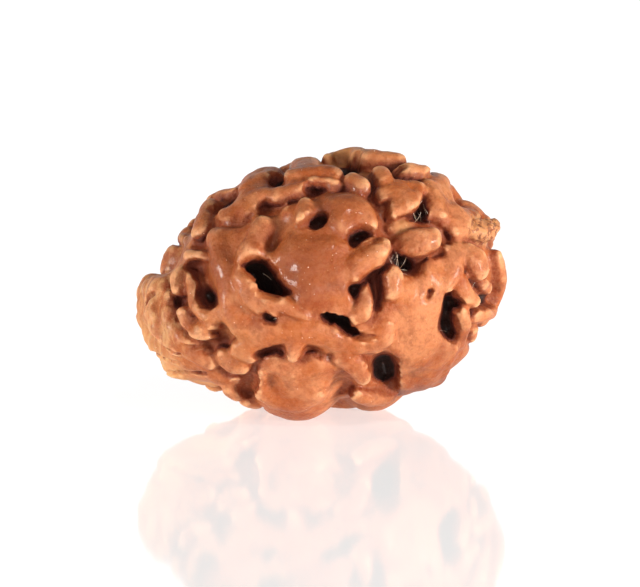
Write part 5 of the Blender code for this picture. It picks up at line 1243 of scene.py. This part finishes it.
def stemShare(mesh, shift):
    # 1 on the rough blunt stem end, 0 elsewhere.
    bead = beadPoints(mesh, shift)
    away = np.linalg.norm(bead[:, :2] - frontToBead(np.array([stoneDetail["stemPlace"]]))[0], axis=1)
    return (1.0 - smoothStep(*stoneDetail["stemReach"], away)) * smoothStep(-2.0, 0.0, bead[:, 2])


def spotShare(mesh, shift, spots):
    # Adds up the named spots, between -1 and 1.
    points = pointsOf(mesh)
    share = np.zeros(len(points))
    for place, (_, _, reach, amount) in zip(worldPlaces(spots, shift), spots):
        away = np.linalg.norm(points - place, axis=1) / (reach * stoneForm["millimetre"])
        share += amount * np.exp(-away ** 2)
    return np.clip(share, -1.0, 1.0)


def makeStone():
    stone = makeBead(bpy.context.scene.collection, "rudrakshaStone", stoneForm["sphereSteps"],
                     stoneForm["voxelSize"], stoneForm["triangleTarget"], stoneForm["smoothingPasses"])
    shift = setInFrame(stone.data)
    points = pointsOf(stone.data)
    points[:, 2] = np.maximum(points[:, 2], 0.0)   # the low points are worn level with the floor
    setPoints(stone.data, points)
    stone.data.shade_smooth()
    # The pitShade attribute drives painted shade: how closed in each point is, with pit bottoms darker still.
    closed = pitShade(stone, stoneDetail["shadeRays"], stoneDetail["shadeReach"])
    deep = smoothStep(*stoneDetail["deepFrom"], sunkBy(stone.data, shift))
    deep = deep * smoothStep(*stoneDetail["deepWhere"], closed)
    storeValues(stone.data, "pitShade", np.minimum(closed + stoneDetail["deepShade"] * deep, 1.0))
    turn = crestTurn(stone.data)
    storeValues(stone.data, "crestTurn", turn)
    storeValues(stone.data, "broadTurn", neighbourMean(stone.data, turn, stoneDetail["broadPasses"]))
    storeValues(stone.data, "waxy", spotShare(stone.data, shift, waxySpots))
    storeValues(stone.data, "toneAndLight", spotShare(stone.data, shift, toneAndLightSpots))
    storeValues(stone.data, "stemEnd", stemShare(stone.data, shift))
    return stone, shift


def attributeValues(mesh, name):
    values = np.empty(len(mesh.vertices), np.float32)
    mesh.attributes[name].data.foreach_get("value", values)
    return values.astype(float)


def worldPlaces(places, shift):
    # Front-view points on the stone, in metres.
    lifted = liftToSurface(np.array([p[:2] for p in places]), 0.0)
    turn = beadToWorld()
    return np.array([(turn @ Vector(p) + shift) * stoneForm["millimetre"] for p in lifted])


pulpFibres = {
    "density": 1.5e6, "length": 0.0019, "width": 0.000017, "seed": 11, "elsewhere": 0.010, "above": 0.0012,
    # Right, up and reach of the pits that hold most of the fibres, then of the tufts on the skin
    "pits": [(7.3, 4.9, 1.1), (5.7, 1.5, 1.2), (2.0, 9.0, 0.8), (-5.5, -7.9, 1.2)],
    "tufts": [(6.9, 4.7, 0.75), (-5.4, -7.8, 0.6), (5.0, 1.1, 0.5)],
}


def makeFibres(stone, shift, mottle):
    v = pulpFibres
    points = pointsOf(stone.data)
    bed = np.full(len(points), v["elsewhere"])
    for place, (_, _, reach) in zip(worldPlaces(v["pits"], shift), v["pits"]):
        away = np.linalg.norm(points - place, axis=1) / (reach * stoneForm["millimetre"])
        bed = np.maximum(bed, 1.0 - smoothStep(0.8, 1.3, away))
    bed *= smoothStep(0.34, 0.50, attributeValues(stone.data, "pitShade"))
    for place, (_, _, reach) in zip(worldPlaces(v["tufts"], shift), v["tufts"]):
        away = np.linalg.norm(points - place, axis=1) / (reach * stoneForm["millimetre"])
        bed = np.maximum(bed, 0.5 * (1.0 - smoothStep(0.7, 1.1, away)))
    bed *= points[:, 2] > v["above"]   # none reaches the floor
    storeValues(stone.data, "fibreBed", bed)
    tree = makeFibreTree()
    return scattered("pulpFibres", stone, tree, {
        "Density": v["density"], "Fibre Length": v["length"], "Fibre Width": v["width"], "Seed": v["seed"],
        "Finish": makeDryMaterial("dryPulp", fibreFinish, mottle, 0.8)})


dustGrains = {"density": 0.8e6, "size": 0.000036, "seed": 4, "clusters": 0.42}


def makeDust(stone, mottle):
    v = dustGrains
    points = pointsOf(stone.data) / stoneForm["millimetre"]
    cluster = np.array([noise.noise(Vector(p) * v["clusters"]) for p in points])
    open_ = 1.0 - smoothStep(0.15, 0.35, attributeValues(stone.data, "pitShade"))
    bed = smoothStep(0.05, 0.5, cluster) * open_
    storeValues(stone.data, "dustBed", bed * (points[:, 2] > 0.4))
    tree = makeDustTree()
    return scattered("paleDust", stone, tree, {
        "Density": v["density"], "Grain Size": v["size"], "Seed": v["seed"],
        "Finish": makeDryMaterial("palePulpDust", dustFinish, mottle, 0.7)})


studio = {
    "floorSize": 6.0, "floorColour": (0.62, 0.62, 0.62, 1.0), "floorGloss": 0.07, "floorGlow": 0.56,
    "distance": 0.45, "pictureWidth": 640, "pictureHeight": 587,
    "middle": (320.5, 283.5),         # picture point of the stone's own centre
    "pixel": 28.0 / 369,              # millimetres a pixel
    "lights": [                       # name, place, size, power, colour
        ("rightKey", (0.230, -0.150, 0.034), 0.06, 0.94, (1.0, 0.95, 0.90)),
        ("leftLow", (-0.210, -0.090, 0.006), 0.07, 0.64, (1.0, 0.94, 0.88)),
        ("frontLow", (0.010, -0.240, 0.003), 0.09, 0.13, (1.0, 0.97, 0.94)),
        ("topGlint", (0.040, -0.150, 0.200), 0.03, 0.11, (1.0, 0.98, 0.95)),
    ],
    "sky": 1.02,                      # as the camera sees it
    "mirrored": (0.32, 1.0),          # as the gloss shows it, from the front and from behind
    "fill": (0.20, 0.11),             # what reaches the stone, from low down and from above
}


def makeFloor():
    half = studio["floorSize"] / 2.0
    mesh = bpy.data.meshes.new("paleFloor")
    mesh.from_pydata([(-half, -half, 0.0), (half, -half, 0.0), (half, half, 0.0), (-half, half, 0.0)], [],
                     [(0, 1, 2, 3)])
    floor = bpy.data.objects.new("paleFloor", mesh)
    bpy.context.scene.collection.objects.link(floor)
    material, tree, shader = newMaterial("paleBoard")
    place = millimetreCoordinates(tree)
    even = rampOf(tree, noiseOf(tree, place, 0.02), 0.2, 0.8)
    low = [0.985 * c for c in studio["floorColour"][:3]] + [1.0]
    tree.links.new(mixColours(tree, even, low, studio["floorColour"]), shader.inputs["Base Color"])
    shader.inputs["Roughness"].default_value = studio["floorGloss"]
    shader.inputs["Emission Color"].default_value = (1.0, 1.0, 1.0, 1.0)   # a lit table
    shader.inputs["Emission Strength"].default_value = studio["floorGlow"]
    mesh.materials.append(material)


def aimAt(thing, place, target):
    thing.location = place
    thing.rotation_euler = (Vector(target) - Vector(place)).to_track_quat("-Z", "Y").to_euler()


def makeLights(target):
    for name, place, size, power, colour in studio["lights"]:
        light = bpy.data.lights.new(name, "AREA")
        light.size = size
        light.energy = power
        light.color = colour
        lamp = bpy.data.objects.new(name, light)
        bpy.context.scene.collection.objects.link(lamp)
        aimAt(lamp, place, target)
    world = bpy.data.worlds.new("softRoom")
    bpy.context.scene.world = world
    world.use_nodes = True
    tree = world.node_tree
    tree.nodes.clear()
    path = tree.nodes.new("ShaderNodeLightPath").outputs
    seen = tree.nodes.new("ShaderNodeTexCoord").outputs["Generated"]
    way = addNode(tree, "ShaderNodeSeparateXYZ", {0: seen})
    low, high = studio["fill"]
    fill = addNode(tree, "ShaderNodeMapRange", {"Value": way.outputs["Z"], "From Min": 0.0, "From Max": 0.8,
                                                "To Min": low, "To Max": high})
    front, behind = studio["mirrored"]
    gloss = addNode(tree, "ShaderNodeMapRange", {"Value": way.outputs["Y"], "From Min": 0.7, "From Max": 0.95,
                                                 "To Min": front, "To Max": behind})
    mirrored = addNode(tree, "ShaderNodeMix", {0: path["Is Glossy Ray"], 2: fill.outputs["Result"],
                                               3: gloss.outputs["Result"]})
    strength = addNode(tree, "ShaderNodeMix", {0: path["Is Camera Ray"], 2: mirrored.outputs[0],
                                               3: studio["sky"]})
    back = addNode(tree, "ShaderNodeBackground", {"Color": (1.0, 1.0, 1.0, 1.0),
                                                  "Strength": strength.outputs[0]})
    output = tree.nodes.new("ShaderNodeOutputWorld")
    tree.links.new(back.outputs[0], output.inputs["Surface"])


def makeCamera(shift):
    # Looks at the picture's middle from the photograph's side, a little above the floor.
    rise = math.radians(stoneForm["viewRise"])
    up = Vector((0.0, math.sin(rise), math.cos(rise)))
    back = Vector((0.0, -math.cos(rise), math.sin(rise)))
    right = (studio["pictureWidth"] / 2.0 - studio["middle"][0]) * studio["pixel"]
    down = (studio["pictureHeight"] / 2.0 - studio["middle"][1]) * studio["pixel"]
    aim = (shift + Vector((right, 0.0, 0.0)) - up * down) * stoneForm["millimetre"]
    data = bpy.data.cameras.new("frontCamera")
    wide = studio["pictureWidth"] * studio["pixel"] * stoneForm["millimetre"]
    data.lens = data.sensor_width * studio["distance"] / wide
    camera = bpy.data.objects.new("frontCamera", data)
    bpy.context.scene.collection.objects.link(camera)
    aimAt(camera, aim + back * studio["distance"], aim)
    bpy.context.scene.camera = camera
    return aim


stone, shift = makeStone()
print("stage: stone carved,", len(stone.data.polygons), "faces")
mottle = mottleGroup()
stone.data.materials.append(makeStoneMaterial(mottle))
fibres = makeFibres(stone, shift, mottle)
dust = makeDust(stone, mottle)
print("stage: fibres", len(fibres.data.polygons), "dust", len(dust.data.polygons))
for piece in (stone, fibres, dust):
    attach(piece, "root")
    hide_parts("rudraksha_bead")
makeFloor()
target = makeCamera(shift)
makeLights(target)
bpy.context.scene.view_settings.view_transform = "Standard"
print("stage: floor, lights and camera set")
